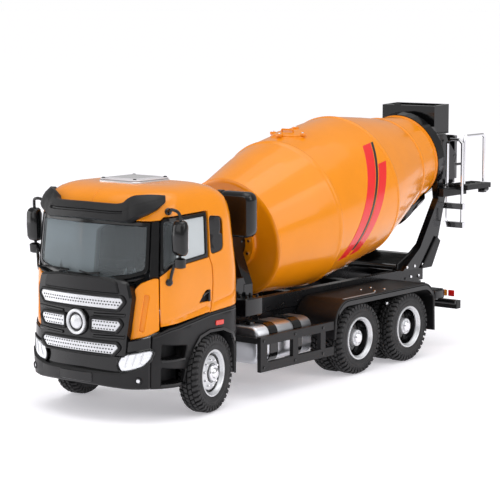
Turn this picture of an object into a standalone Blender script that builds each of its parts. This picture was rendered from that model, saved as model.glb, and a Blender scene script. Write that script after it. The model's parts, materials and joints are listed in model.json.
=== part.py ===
"""Toy concrete mixer truck: every piece is its own object, at the size of the real toy.

Sizes are in millimetres and are turned into metres where a mesh or a place is made. Along the truck they
are measured back from the face of the front bumper, and centred() moves them so that the origin is under
the middle of the truck. +X is the truck's left, -Y its front and +Z is up.
"""

import math

import bmesh
import bpy
from mathutils import Matrix, Vector

MM = 0.001
GAP = 0.3  # between pieces that touch on the real toy

# Wheels and chassis
TYRE_RADIUS = 10.7
RIM_RADIUS = 6.3
FRONT_TYRE_WIDTH = 5.4
REAR_TYRE_WIDTH = 11.4
TRACK_WIDTH = 49.0  # over the outer faces of the tyres
AXLE_RADIUS = 1.2
FRONT_OVERHANG = 27.2
WHEELBASE = 69.3
BOGIE_SPACING = 25.9
REAR_OVERHANG = 29.5
STEER_AT_REST = 11.0  # degrees, to the truck's left
KINGPIN_X = 17.2
RAIL_X = 8.5
RAIL_WIDTH = 2.0
RAIL_HEIGHT = 5.0
SUBFRAME_HEIGHT = 4.2

# Cab
CAB_WIDTH = 48.0
CAB_FRONT = 4.3
CAB_LENGTH = 40.0
CAB_CLEARANCE = 3.0  # from the tyres' tops up to the cab
CAB_TALL = 36.6  # this and the next four are above the cab's underside
SILL_RISE = 16.4
WINDOW_RISE = 29.2
DOOR_RISE = 2.2
DOOR_TALL = 32.2
CAB_WALL = 1.2
SKIN = 1.3  # of the panels on the front of the cab
CORNER_RADIUS = 10.0
DOOR_FRONT = 9.8
PILLAR = 6.0  # from the cab's side to the edge of the windscreen
DOOR_REAR = 28.2
BUMPER_NOSE = 2.8  # how far the bumper stands out in front of the cab
BUMPER_REAR = 8.2
HINGE_INSET = 0.4  # from the cab's side to the door's hinge

# Drum
DRUM_TILT = 11.3  # degrees, up towards the rear
DRUM_SET = 85.8  # from the drum's front face to the rear end of the rails
DRUM_RISE = 16.8  # from the subframe to the middle of the drum's front face
DRUM_WALL = 1.2
HEAD_RADIUS = 17.4
BARREL_RADIUS = 22.3
MOUTH_RADIUS = 13.6
NECK_RADIUS = 11.6
FRONT_CONE = 23.9  # lengths along the drum's axis
BARREL = 30.5
REAR_CONE = 24.8
REAR_COLLAR = 10.3
NECK = 4.0
HUB_RADIUS = 8.8
HUB_DEPTH = 1.2
RING_WALL = 2.6

# Rear end
HOPPER_WIDTH = 20.0
HOPPER_RISE = 34.2  # this and the platform's are above the middle of the drum's front face
HOPPER_HEIGHT = 9.0
HOPPER_DEPTH = 8.6
PLATFORM_RISE = 8.8
PLATFORM_LENGTH = 14.4
PLATFORM_WIDTH = 8.0
LADDER_WIDTH = 5.6
LADDER_X = 10.6
CHUTE_RADIUS = 5.6
CHUTE_LENGTH = 14.0
CHUTE_DISC = 3.4  # radius of the disc that it turns on
FUNNEL_REACH = 7.2  # of the funnel behind the hopper
SHEET = 1.0  # walls of the hopper and the funnel

# Places that follow from the sizes above
RAIL_TOP = TYRE_RADIUS + 9.6
RAIL_BOTTOM = RAIL_TOP - RAIL_HEIGHT
SUBFRAME_TOP = RAIL_TOP + GAP + SUBFRAME_HEIGHT
FRONT_AXLE = FRONT_OVERHANG
REAR_AXLES = (FRONT_AXLE + WHEELBASE, FRONT_AXLE + WHEELBASE + BOGIE_SPACING)
CHASSIS_REAR = REAR_AXLES[1] + REAR_OVERHANG
FENDER_FRONT = REAR_AXLES[0] - TYRE_RADIUS - 2.5  # of the mudguards over the rear wheels
TYRE_FACE = TRACK_WIDTH / 2
CAB_HALF = CAB_WIDTH / 2
CAB_REAR = CAB_FRONT + CAB_LENGTH
CAB_BOTTOM = 2 * TYRE_RADIUS + CAB_CLEARANCE
CAB_HEIGHT = CAB_BOTTOM + CAB_TALL
SILL_HEIGHT = CAB_BOTTOM + SILL_RISE
WINDOW_TOP = CAB_BOTTOM + WINDOW_RISE
DOOR_BOTTOM = CAB_BOTTOM + DOOR_RISE
DOOR_TOP = CAB_BOTTOM + DOOR_TALL
TILT = math.radians(DRUM_TILT)
DRUM_FRONT = CHASSIS_REAR - DRUM_SET
DRUM_FRONT_HEIGHT = SUBFRAME_TOP + DRUM_RISE
HOPPER_TOP = DRUM_FRONT_HEIGHT + HOPPER_RISE
PLATFORM_HEIGHT = DRUM_FRONT_HEIGHT + PLATFORM_RISE
DRUM_ALONG = (0.0, math.cos(TILT), math.sin(TILT))
DRUM_ORIGIN = (0.0, DRUM_FRONT, DRUM_FRONT_HEIGHT)
DRUM_LENGTH = FRONT_CONE + BARREL + REAR_CONE + REAR_COLLAR + NECK
MOUTH_Y = DRUM_FRONT + DRUM_LENGTH * math.cos(TILT)
PLATFORM_FRONT = MOUTH_Y + 7.0
HOPPER_FRONT = MOUTH_Y + 0.2
HOPPER_REAR = HOPPER_FRONT + HOPPER_DEPTH
# The turning chute's edges clear the funnel's back whichever way it is turned.
CHUTE_TURN_Y = HOPPER_REAR + FUNNEL_REACH + math.hypot(CHUTE_RADIUS, CHUTE_RADIUS / 2) + GAP
TRUCK_LENGTH = max(CHUTE_TURN_Y + CHUTE_DISC, PLATFORM_FRONT + PLATFORM_LENGTH)
MIDDLE = (0.0, TRUCK_LENGTH / 2, 0.0)  # under the middle of the truck

parts = None
cutters = None
finishes = {}


# ---------------------------------------------------------------- helpers


def centred(x, y, z):
    """The place in metres of a point given in millimetres behind the bumper's face."""
    return Vector((x, y - TRUCK_LENGTH / 2, z)) * MM


def finish(name, colour, roughness, metallic=0.0):
    material = bpy.data.materials.new(name)
    material.use_nodes = True
    shader = material.node_tree.nodes["Principled BSDF"]
    shader.inputs["Base Color"].default_value = (*colour, 1.0)
    shader.inputs["Roughness"].default_value = roughness
    shader.inputs["Metallic"].default_value = metallic
    material.diffuse_color = (*colour, 1.0)
    finishes[name] = material


def add(name, mesh, material, origin=MIDDLE):
    """An object in the parts collection. origin is a point in truck millimetres."""
    piece = bpy.data.objects.new(name, mesh)
    piece.location = centred(*origin)
    mesh.materials.append(finishes[material])
    parts.objects.link(piece)
    return piece


def from_bmesh(name, shape, material, origin):
    bmesh.ops.recalc_face_normals(shape, faces=shape.faces)
    mesh = bpy.data.meshes.new(name)
    shape.to_mesh(mesh)
    shape.free()
    mesh.shade_smooth()
    mesh.set_sharp_from_angle(angle=math.radians(30))
    return add(name, mesh, material, origin)


def box(name, material, low, high, bevel=0.0, turn=0.0):
    """A box between two corners, turned about its own upright centre line by turn degrees."""
    centre = [(a + b) / 2 for a, b in zip(low, high)]
    size = [abs(b - a) * MM for a, b in zip(low, high)]
    shape = bmesh.new()
    bmesh.ops.create_cube(shape, size=1.0)
    bmesh.ops.scale(shape, vec=size, verts=shape.verts)
    bmesh.ops.rotate(shape, matrix=Matrix.Rotation(math.radians(turn), 3, "Z"), verts=shape.verts)
    piece = from_bmesh(name, shape, material, centre)
    if bevel:
        edge = piece.modifiers.new("edges", "BEVEL")
        edge.width = bevel * MM
        edge.segments = 1
    return piece


def rod(name, material, start, end, radius, sides=16):
    """A round bar between two points."""
    start, end = Vector(start), Vector(end)
    along = end - start
    shape = bmesh.new()
    bmesh.ops.create_cone(
        shape,
        cap_ends=True,
        segments=sides,
        radius1=radius * MM,
        radius2=radius * MM,
        depth=along.length * MM,
    )
    turn = Vector((0, 0, 1)).rotation_difference(along).to_matrix()
    bmesh.ops.rotate(shape, matrix=turn, verts=shape.verts)
    return from_bmesh(name, shape, material, (start + end) / 2)


def turned(name, material, profile, centre, along, steps=28, closed=False):
    """A turned piece: (radius, distance along the axis) pairs, from the far end back on the outer side."""
    mesh = bpy.data.meshes.new(name)
    points = [(radius * MM, 0.0, height * MM) for radius, height in profile]
    edges = [(i, i + 1) for i in range(len(points) - 1)]
    if closed:
        edges.append((len(points) - 1, 0))
    mesh.from_pydata(points, edges, [])
    piece = add(name, mesh, material, centre)
    piece.rotation_mode = "QUATERNION"
    piece.rotation_quaternion = Vector((0, 0, 1)).rotation_difference(Vector(along))
    screw = piece.modifiers.new("turn", "SCREW")
    screw.steps = screw.render_steps = steps
    screw.use_merge_vertices = True
    screw.merge_threshold = 0.00001
    screw.use_smooth_shade = True
    return piece


def plate(name, material, outline, low, high, axis="X"):
    """A flat outline made thick from low to high along an axis.

    Outline points are (y, z) for axis X, (x, z) for axis Y and (x, y) for axis Z.
    """
    curve = bpy.data.curves.new(name, "CURVE")
    curve.dimensions = "2D"
    curve.fill_mode = "BOTH"
    curve.extrude = (high - low) / 2 * MM
    spline = curve.splines.new("POLY")
    spline.points.add(len(outline) - 1)
    spline.use_cyclic_u = True
    shift = TRUCK_LENGTH / 2
    for point, (a, b) in zip(spline.points, outline):
        if axis == "X":
            a -= shift
        elif axis == "Z":
            b -= shift
        point.co = (a * MM, b * MM, 0.0, 1.0)
    holder = bpy.data.objects.new(name, curve)
    parts.objects.link(holder)
    bpy.context.view_layer.update()
    graph = bpy.context.evaluated_depsgraph_get()
    mesh = bpy.data.meshes.new_from_object(holder.evaluated_get(graph))
    bpy.data.objects.remove(holder)
    shape = bmesh.new()
    shape.from_mesh(mesh)
    bmesh.ops.remove_doubles(shape, verts=shape.verts, dist=0.001 * MM)
    bpy.data.meshes.remove(mesh)
    middle = (low + high) / 2 * MM
    turn = {
        "X": Matrix(((0, 0, 1, middle), (1, 0, 0, 0), (0, 1, 0, 0), (0, 0, 0, 1))),
        "Y": Matrix(((1, 0, 0, 0), (0, 0, -1, middle - shift * MM), (0, 1, 0, 0), (0, 0, 0, 1))),
        "Z": Matrix.Translation((0, 0, middle)),
    }[axis]
    bmesh.ops.transform(shape, matrix=turn, verts=shape.verts)
    return from_bmesh(name, shape, material, MIDDLE)


def tube(name, material, points, radius, sides=10):
    """A bent wire through points that lie in one plane, mitred at each bend, with flat ends."""
    points = [Vector(point) for point in points]
    runs = [(b - a).normalized() for a, b in zip(points, points[1:])]
    square = next((run.cross(runs[0]).normalized() for run in runs if run.cross(runs[0]).length > 0.01))
    shape = bmesh.new()
    rings = []
    for i, point in enumerate(points):
        before, after = runs[max(i - 1, 0)], runs[min(i, len(runs) - 1)]
        along = (before + after).normalized()
        across = along.cross(square) / along.dot(after)
        ring = []
        for k in range(sides):
            turn = 2 * math.pi * k / sides
            place = point + (across * math.cos(turn) + square * math.sin(turn)) * radius
            ring.append(shape.verts.new(centred(*place)))
        rings.append(ring)
    for lower, upper in zip(rings, rings[1:]):
        for k in range(sides):
            j = (k + 1) % sides
            shape.faces.new((lower[k], lower[j], upper[j], upper[k]))
    shape.faces.new(rings[0])
    shape.faces.new(list(reversed(rings[-1])))
    return from_bmesh(name, shape, material, MIDDLE)


def carry(holder, *pieces):
    """The pieces stay where they are and move with holder."""
    for piece in pieces:
        piece.parent = holder
        piece.matrix_parent_inverse = holder.matrix_basis.inverted()


def pivot(name, place, along, *pieces):
    """An empty on a joint's axis, with the pieces that turn about it."""
    empty = bpy.data.objects.new(name, None)
    empty.empty_display_type = "SINGLE_ARROW"
    empty.empty_display_size = 10 * MM
    empty.location = centred(*place)
    empty.rotation_mode = "QUATERNION"
    empty.rotation_quaternion = Vector((0, 0, 1)).rotation_difference(Vector(along))
    parts.objects.link(empty)
    carry(empty, *pieces)
    return empty


def as_cutter(cutter, piece):
    """A cutter isn't rendered, and moves with the piece that it shapes."""
    parts.objects.unlink(cutter)
    cutters.objects.link(cutter)
    cutter.hide_render = True
    cutter.display_type = "WIRE"
    carry(piece, cutter)


def combine(piece, operation, *others):
    for other in others:
        boolean = piece.modifiers.new(other.name, "BOOLEAN")
        boolean.operation = operation
        boolean.object = other
        boolean.solver = "EXACT"
        if other.name in parts.objects:
            as_cutter(other, piece)
    return piece


def cut(piece, *others):
    return combine(piece, "DIFFERENCE", *others)


def join(piece, *others):
    return combine(piece, "UNION", *others)


def keep(piece, *others):
    return combine(piece, "INTERSECT", *others)


def sides():
    """(name, sign of x) of the truck's two sides."""
    return (("left", 1), ("right", -1))


# ---------------------------------------------------------------- cab


def cab_sections():
    """(height, half-width, front of the face, rear, corner radius) of the cab, from the bumper up."""
    roof = CAB_HEIGHT
    return (
        (8.0, CAB_HALF - 0.6, CAB_FRONT - 0.6, CAB_REAR, CORNER_RADIUS),
        (16.0, CAB_HALF - 0.2, CAB_FRONT - 0.9, CAB_REAR, CORNER_RADIUS),
        (CAB_BOTTOM, CAB_HALF, CAB_FRONT - 0.3, CAB_REAR, CORNER_RADIUS),
        (SILL_HEIGHT - 4.0, CAB_HALF, CAB_FRONT + 0.2, CAB_REAR, CORNER_RADIUS),
        (WINDOW_TOP - 0.6, CAB_HALF - 1.2, CAB_FRONT + 2.2, CAB_REAR - 1.4, CORNER_RADIUS - 1.6),
        (roof - 4.0, CAB_HALF - 2.0, CAB_FRONT + 3.2, CAB_REAR - 2.6, CORNER_RADIUS - 1.6),
        (roof - 1.6, CAB_HALF - 4.0, CAB_FRONT + 5.8, CAB_REAR - 5.0, CORNER_RADIUS - 2.6),
        (roof - 0.4, CAB_HALF - 7.0, CAB_FRONT + 9.4, CAB_REAR - 8.6, CORNER_RADIUS - 4.0),
        (roof, CAB_HALF - 10.0, CAB_FRONT + 12.0, CAB_REAR - 11.4, CORNER_RADIUS - 6.0),
    )


def cab_outline(half, front, rear, radius):
    """The cab's plan: a slightly bowed face, wide round front corners and tight rear ones."""
    bow = 1.5
    tight = 2.0
    steps = 6
    flat = half - radius
    right = []
    for i in range(steps + 1):
        angle = math.radians(90 * i / steps)
        right.append((flat + radius * math.sin(angle), front + bow + radius - radius * math.cos(angle)))
    face = [(flat / 2, front + bow / 4)]
    back = [(half, rear - tight), (half - 0.6, rear - 0.6), (half - tight, rear)]
    side = face + right + back
    return [(0.0, front)] + side + [(-x, y) for x, y in reversed(side)]


def cab_form(name, material, outset, low=None, high=None, nose=0.0):
    """The cab's outer form grown by outset (shrunk where it is negative), between two heights.

    nose moves its face forwards.
    """
    rows = cab_sections()
    low = rows[0][0] if low is None else low
    high = rows[-1][0] + outset if high is None else high
    heights = [low] + [row[0] for row in rows if low < row[0] < high] + [high]
    shape = bmesh.new()
    rings = []
    for height in heights:
        level = height - outset if height > CAB_HEIGHT - 4.0 else height
        level = min(max(level, rows[0][0]), rows[-1][0])
        for below, above in zip(rows, rows[1:]):
            if below[0] <= level <= above[0]:
                share = (level - below[0]) / (above[0] - below[0])
                half, front, rear, radius = (a + (b - a) * share for a, b in zip(below[1:], above[1:]))
        corner = max(radius + outset, 1.0)
        plan = cab_outline(half + outset, front - outset - nose, rear + outset, corner)
        rings.append([shape.verts.new(centred(x, y, height)) for x, y in plan])
    for lower, upper in zip(rings, rings[1:]):
        count = len(lower)
        for i in range(count):
            j = (i + 1) % count
            shape.faces.new((lower[i], lower[j], upper[j], upper[i]))
    shape.faces.new(rings[0])
    shape.faces.new(list(reversed(rings[-1])))
    return from_bmesh(name, shape, material, MIDDLE)


def cab_skin(name, material, outer, inner, low, high, reach, nose=0.0):
    """A sheet that follows the cab between two offsets, kept inside a box given by reach = (low, high)."""
    skin = cab_form(name, material, outer, low, high, nose)
    cut(skin, cab_form(name + "_inside", material, inner, low - 1.0, high + 1.0, nose))
    return keep(skin, box(name + "_reach", material, *reach))


def door_box(name, side, grow):
    inner, outer = side * (CAB_HALF - 6.0), side * (CAB_HALF + 2.0)
    low = (min(inner, outer), DOOR_FRONT - grow, DOOR_BOTTOM - grow)
    high = (max(inner, outer), DOOR_REAR + grow, DOOR_TOP + grow)
    return box(name, "paint", low, high)


def window_plate(name, side, grow):
    """The door window's outline, whose sill drops towards the front, grown by grow."""
    front, rear = DOOR_FRONT + 1.9, DOOR_REAR - 1.4
    outline = [
        (front - grow, SILL_HEIGHT - 1.2 - grow),
        (front + 5.0, SILL_HEIGHT - 0.6 - grow),
        (rear + grow, SILL_HEIGHT + 0.6 - grow),
        (rear + grow, WINDOW_TOP + grow),
        (front + 1.4 - grow, WINDOW_TOP + grow),
    ]
    ends = sorted((side * (CAB_HALF - 6.0), side * (CAB_HALF + 2.0)))
    return plate(name, "glass", outline, *ends)


def make_cab():
    shell = cab_form("cab_shell", "paint", 0.0, CAB_BOTTOM)
    cut(shell, cab_form("cab_room", "paint", -CAB_WALL, CAB_BOTTOM - 6.0, CAB_HEIGHT - CAB_WALL))
    half = CAB_HALF - PILLAR
    opening = box(
        "windscreen_opening", "paint",
        (-half, CAB_FRONT - 5.0, SILL_HEIGHT - 3.2), (half, CAB_FRONT + 5.0, WINDOW_TOP - 0.8),
    )
    cut(shell, opening)
    for name, side in sides():
        cut(shell, door_box(f"doorway_{name}", side, GAP))
    slope = plate(
        "cab_underside", "paint",
        [
            (CAB_FRONT - 6.0, CAB_BOTTOM - 8.0),
            (CAB_REAR + 4.0, CAB_BOTTOM - 8.0),
            (CAB_REAR + 4.0, CAB_BOTTOM + 3.8),
            (DOOR_FRONT, CAB_BOTTOM + 0.4),
            (CAB_FRONT - 6.0, CAB_BOTTOM + 0.01),
        ],
        -CAB_HALF - 2.0, CAB_HALF + 2.0,
    )
    cut(shell, slope)

    cab_skin(
        "windscreen", "glass", -0.2, -0.9, SILL_HEIGHT - 6.0, WINDOW_TOP + 2.0,
        (
            (-half + GAP, CAB_FRONT - 5.0, SILL_HEIGHT - 3.2 + GAP),
            (half - GAP, CAB_FRONT + 5.0 - GAP, WINDOW_TOP - 0.8 - GAP),
        ),
    )


def make_interior():
    """One moulding for the floor, the dashboard and the two seats, and the steering wheel on it."""
    half = CAB_HALF - CAB_WALL - 2.2
    floor_top = CAB_BOTTOM + 6.4
    front, rear = CAB_FRONT + 8.0, CAB_REAR - CAB_WALL - 1.6
    tub = box("interior_tub", "cabin", (-half, front, CAB_BOTTOM + 4.8), (half, rear, floor_top))
    under = floor_top - 1.0
    join(tub, box("dashboard", "cabin", (-half, front, under), (half, front + 4.0, SILL_HEIGHT - 2.2)))
    seat_x, seat_width = 10.2, 14.0
    for name, side in sides():
        low, high = side * seat_x - seat_width / 2, side * seat_x + seat_width / 2
        cushion = ((low, rear - 14.0, under), (high, rear - 3.0, floor_top + 5.0))
        back = ((low, rear - 4.6, under), (high, rear - 1.2, floor_top + 19.0))
        join(tub, box(f"seat_{name}", "cabin", *cushion), box(f"seat_back_{name}", "cabin", *back))
    lean = Vector((0.0, 0.6, 0.8))
    centre = Vector((seat_x, front + 6.6, SILL_HEIGHT - 0.4))
    ring = [(3.6, 0.4), (3.6, -0.4), (2.9, -0.4), (2.9, 0.4)]
    wheel = turned("steering_wheel", "cabin", ring, centre, lean, steps=20, closed=True)
    spoke = Vector((3.2, 0.4, 0.3))
    bar = box("wheel_bar", "cabin", centre - spoke, centre + spoke)
    column = rod("wheel_column", "cabin", centre - lean * 3.4, centre, 0.6, 8)
    join(wheel, bar, column)


def make_doors():
    """Each door hangs on its front edge, with its window and its mirror."""
    mirrors = make_mirrors()
    for name, side in sides():
        door = cab_form(f"door_{name}", "paint", 0.0, CAB_BOTTOM)
        ceiling = CAB_HEIGHT - CAB_WALL
        cut(door, cab_form(f"door_inside_{name}", "paint", -CAB_WALL, CAB_BOTTOM - 6.0, ceiling))
        keep(door, door_box(f"door_limits_{name}", side, 0.0))
        cut(door, window_plate(f"window_opening_{name}", side, 0.0))
        glass = cab_form(f"door_glass_{name}", "glass", -GAP, SILL_HEIGHT - 6.0, WINDOW_TOP + 2.0)
        behind = cab_form(f"glass_inside_{name}", "glass", -GAP - 0.6, SILL_HEIGHT - 7.0, WINDOW_TOP + 3.0)
        cut(glass, behind)
        keep(glass, window_plate(f"glass_limits_{name}", side, -GAP))
        hinge = (side * (CAB_HALF - HINGE_INSET), DOOR_FRONT, SILL_HEIGHT)
        pivot(f"door_{name}_hinge", hinge, (0, 0, -side), door, glass, mirrors[name])


def make_mirrors():
    """Each mirror's arm is screwed to the door above and below the window."""
    low, high = SILL_HEIGHT + 3.2, WINDOW_TOP - 1.0
    inner, outer = CAB_HALF + 1.0, CAB_HALF + 6.0
    root = DOOR_FRONT + 1.4
    top, foot = DOOR_TOP - 1.1, SILL_HEIGHT - 3.4
    made = {}
    for name, side in sides():
        left, right = sorted((side * inner, side * outer))
        corners = ((left, root + 3.0, low), (right, root + 5.8, high))
        mirror = box(f"mirror_{name}", "plastic", *corners, bevel=0.8)
        stem = side * (inner + 2.4)
        top_arm = [
            (side * (CAB_HALF - 1.2), root, top),
            (side * (CAB_HALF + 0.6), root + 0.4, top),
            (stem, root + 3.4, top - 0.6),
            (stem, root + 4.4, high - 1.0),
        ]
        foot_arm = [
            (side * (CAB_HALF + 0.55), root, foot),
            (side * (CAB_HALF + 1.4), root + 0.4, foot),
            (stem, root + 3.0, foot + 1.6),
            (stem, root + 4.4, low + 1.0),
        ]
        for end, points in (("top", top_arm), ("foot", foot_arm)):
            join(mirror, tube(f"mirror_arm_{end}_{name}", "plastic", points, 0.55))
        made[name] = mirror
    return made


def make_cab_front():
    """The grille panel and its plated insert with the boss, the bumper, lamps, visor and wipers."""
    low, high = RAIL_TOP - 1.4, SILL_HEIGHT - 4.0
    half = CAB_HALF - 7.8
    panel = cab_skin(
        "grille_panel", "plastic", GAP + SKIN, GAP, low - 2.0, high + 2.0,
        ((-half, CAB_FRONT - 9.0, low), (half, CAB_FRONT + 6.0, high)),
    )
    slots = (
        (-half + 1.6, half - 1.6, high - 6.8, high - 3.6),
        (4.6, half - 2.2, high - 12.4, high - 9.2),
        (-half + 2.2, -4.6, high - 12.4, high - 9.2),
        (-half + 2.6, half - 2.6, high - 17.2, high - 15.2),
    )
    insert_half, insert_low, insert_high = half - 0.9, high - 17.9, high - 3.0
    recess = cab_form("grille_recess", "plastic", GAP + 0.8, insert_low - 3.0, insert_high + 3.0)
    reach_low = (-insert_half - GAP, CAB_FRONT - 9.0, insert_low - GAP)
    reach_high = (insert_half + GAP, CAB_FRONT + 8.0, insert_high + GAP)
    keep(recess, box("recess_reach", "plastic", reach_low, reach_high))
    cut(panel, recess)
    for i, (x0, x1, z0, z1) in enumerate(slots):
        cut(panel, box(f"grille_slot_{i}", "plastic", (x0, CAB_FRONT - 9.0, z0), (x1, CAB_FRONT + 4.0, z1)))
    insert = cab_skin(
        "grille_insert", "plated", GAP + 0.5, 0.0, insert_low - 2.0, insert_high + 2.0,
        ((-insert_half, CAB_FRONT - 9.0, insert_low), (insert_half, CAB_FRONT + 8.0, insert_high)),
    )
    boss_radius, boss_height = 3.3, high - 10.8
    face = CAB_FRONT - SKIN - GAP
    profile = [
        (0.0, 0.9),
        (boss_radius - 0.6, 0.9),
        (boss_radius, 0.3),
        (boss_radius, -1.4),
        (0.0, -1.4),
    ]
    boss = turned("badge_boss", "plated", profile, (0.0, face - 0.5, boss_height), (0, -1, 0), steps=24)
    join(insert, boss)
    hole_ends = [(0.0, face + reach, boss_height) for reach in (-4.0, 4.0)]
    cut(panel, rod("badge_hole", "plastic", *hole_ends, boss_radius + GAP, 24))

    bumper_top = RAIL_TOP - 1.7
    bumper = cab_skin(
        "front_bumper", "plastic", 0.6, -1.6, TYRE_RADIUS - 0.9, bumper_top,
        ((-CAB_HALF, CAB_FRONT - 9.0, 0.0), (CAB_HALF, BUMPER_REAR, bumper_top + 1.0)), BUMPER_NOSE,
    )
    lamp_low, lamp_high = bumper_top - 4.4, bumper_top
    lamp_front, lamp_rear = CAB_FRONT - 9.0, BUMPER_REAR - 1.6
    for name, side in sides():
        left, right = sorted((side * 13.9, side * (CAB_HALF - 2.0)))
        recess_low = (left - GAP, lamp_front, lamp_low - GAP)
        recess_high = (right + GAP, lamp_rear + GAP, lamp_high + 3.0)
        cut(bumper, box(f"lamp_recess_{name}", "plastic", recess_low, recess_high))
        cab_skin(
            f"headlight_{name}", "lamp", 0.3, -1.3, lamp_low - 2.0, lamp_high + 2.0,
            ((left, lamp_front, lamp_low), (right, lamp_rear, lamp_high)), BUMPER_NOSE,
        )

    beam_low, beam_high = WINDOW_TOP - 1.3, WINDOW_TOP + 3.4
    visor = cab_skin(
        "sun_visor", "plastic", GAP + 1.6, GAP, beam_low - 2.0, beam_high + 2.0,
        ((-CAB_HALF - 2.0, CAB_FRONT - 9.0, beam_low), (CAB_HALF + 2.0, DOOR_FRONT - GAP, beam_high)),
    )
    groove = ((-12.0, CAB_FRONT - 9.0, beam_low + 2.1), (12.0, CAB_FRONT + 1.1, beam_low + 2.6))
    cut(visor, box("visor_groove", "plastic", *groove))

    sill = SILL_HEIGHT - 3.2
    for name, x in (("left", 12.0), ("right", -1.0)):
        places = ((x, sill), (x - 2.0, sill + 1.6), (x - 9.5, sill + 1.2))
        tube(f"wiper_{name}", "plastic", [(a, CAB_FRONT - 0.9, b) for a, b in places], 0.35)


def make_roof_and_intake():
    box(
        "roof_hatch", "hatch",
        (-7.2, CAB_FRONT + 13.0, CAB_HEIGHT + GAP),
        (7.2, CAB_FRONT + 27.6, CAB_HEIGHT + GAP + 0.9),
        bevel=0.4,
    )
    front = CAB_REAR + 1.6
    intake = box("air_intake", "gloss_black", (12.0, front, 46.6), (22.4, front + 4.6, 57.4), bevel=1.0)
    base, duct_front, duct_rear = SUBFRAME_TOP + GAP, front + 0.6, front + 4.0
    join(intake, box("intake_duct", "gloss_black", (14.0, duct_front, base), (18.0, duct_rear, 47.6)))
    foot = ((RAIL_X - 1.0, duct_front, base), (16.0, duct_rear, base + 2.7))
    join(intake, box("intake_foot", "gloss_black", *foot))


# ---------------------------------------------------------------- chassis and wheels


def make_chassis():
    front, rear = FRONT_AXLE - 18.0, CHASSIS_REAR
    outer, inner = RAIL_X + RAIL_WIDTH / 2, RAIL_X - RAIL_WIDTH / 2
    frame = box("chassis_frame", "chassis", (inner, front, RAIL_BOTTOM), (outer, rear, RAIL_TOP))
    join(frame, box("rail_right", "chassis", (-outer, front, RAIL_BOTTOM), (-inner, rear, RAIL_TOP)))
    halfway = (FRONT_AXLE + REAR_AXLES[0]) / 2
    cross = (front + 3.0, FRONT_AXLE + 16.0, halfway + 6.0, sum(REAR_AXLES) / 2, rear - 2.0)
    for i, y in enumerate(cross):
        low, high = (0.5 - outer, y - 1.2, RAIL_BOTTOM + 0.6), (outer - 0.5, y + 1.2, RAIL_TOP - 0.6)
        join(frame, box(f"cross_member_{i}", "chassis", low, high))
    root, foot = RAIL_BOTTOM + 1.0, TYRE_RADIUS - 2.6
    for i, y in enumerate(REAR_AXLES):
        hanger = [(y - 5.0, root), (y - 3.0, foot), (y + 3.0, foot), (y + 5.0, root)]
        for name, side in sides():
            ends = sorted((side * (inner + 0.2), side * (outer - 0.2)))
            join(frame, plate(f"hanger_{name}_{i}", "chassis", hanger, *ends))
    for i, y in enumerate(REAR_AXLES):
        ends = [(x, y, TYRE_RADIUS) for x in (-outer - 1.0, outer + 1.0)]
        cut(frame, rod(f"axle_hole_{i}", "chassis", *ends, AXLE_RADIUS + GAP))

    sub_front = CAB_REAR + 2.0
    low, high = RAIL_TOP + GAP, SUBFRAME_TOP
    subframe = box("subframe", "chassis", (inner, sub_front, low), (outer + 0.4, rear + 0.5, high))
    twin = ((-outer - 0.4, sub_front, low), (-inner, rear + 0.5, high))
    join(subframe, box("subframe_right", "chassis", *twin))
    cross = (sub_front + 3.0, sub_front + 20.0, REAR_AXLES[0] - 4.0, REAR_AXLES[1], rear - 2.0)
    for i, y in enumerate(cross):
        corners = ((-outer, y - 1.5, low + 0.5), (outer, y + 1.5, low + 2.5))
        join(subframe, box(f"subframe_cross_{i}", "chassis", *corners))


def tyre_profile(width, groove=0.0):
    """Round-shouldered tread across a tyre, with a groove down its middle where it stands for a pair."""
    half = width / 2
    shoulder = TYRE_RADIUS - 1.1
    near = [
        (RIM_RADIUS + GAP, half - 0.7),
        (shoulder - 0.9, half),
        (shoulder + 0.3, half - 0.3),
        (TYRE_RADIUS, half - 1.2),
    ]
    if groove:
        near += [(TYRE_RADIUS, groove + 1.0), (shoulder, groove)]
    return near + [(radius, -x) for radius, x in reversed(near)]


def make_rear_axles():
    """Each axle is a steel pin through the rails, with a double wheel pressed on either end."""
    rim_face, hub_depth, web = TYRE_FACE - 0.9, 2.4, 4.6
    reach = rim_face - hub_depth - GAP
    bore = AXLE_RADIUS + GAP
    dish = RIM_RADIUS - 1.0
    inside = 1.2 - REAR_TYRE_WIDTH
    cap = [(0.0, 1.4), (2.4, 1.4), (3.0, 0.8), (3.0, -1.4)]
    lip = [(dish, -2.6), (dish + 0.1, 0.0), (RIM_RADIUS, 0.0)]
    back = [(RIM_RADIUS, inside), (RIM_RADIUS - 1.2, inside), (RIM_RADIUS - 2.6, -web), (bore, -web)]
    profile = cap + lip + back + [(bore, -hub_depth), (0.0, -hub_depth)]
    tyre = tyre_profile(REAR_TYRE_WIDTH, groove=0.5)
    for number, y in enumerate(REAR_AXLES, 1):
        rod(f"rear_axle_{number}", "steel", (-reach, y, TYRE_RADIUS), (reach, y, TYRE_RADIUS), AXLE_RADIUS)
        for name, side in sides():
            face = (side * rim_face, y, TYRE_RADIUS)
            turned(f"rim_rear_{number}_{name}", "plated", profile, face, (side, 0, 0), steps=18)
            middle = (side * (TYRE_FACE - REAR_TYRE_WIDTH / 2), y, TYRE_RADIUS)
            along = (side, 0, 0)
            turned(f"tyre_rear_{number}_{name}", "rubber", tyre, middle, along, steps=24, closed=True)


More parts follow.
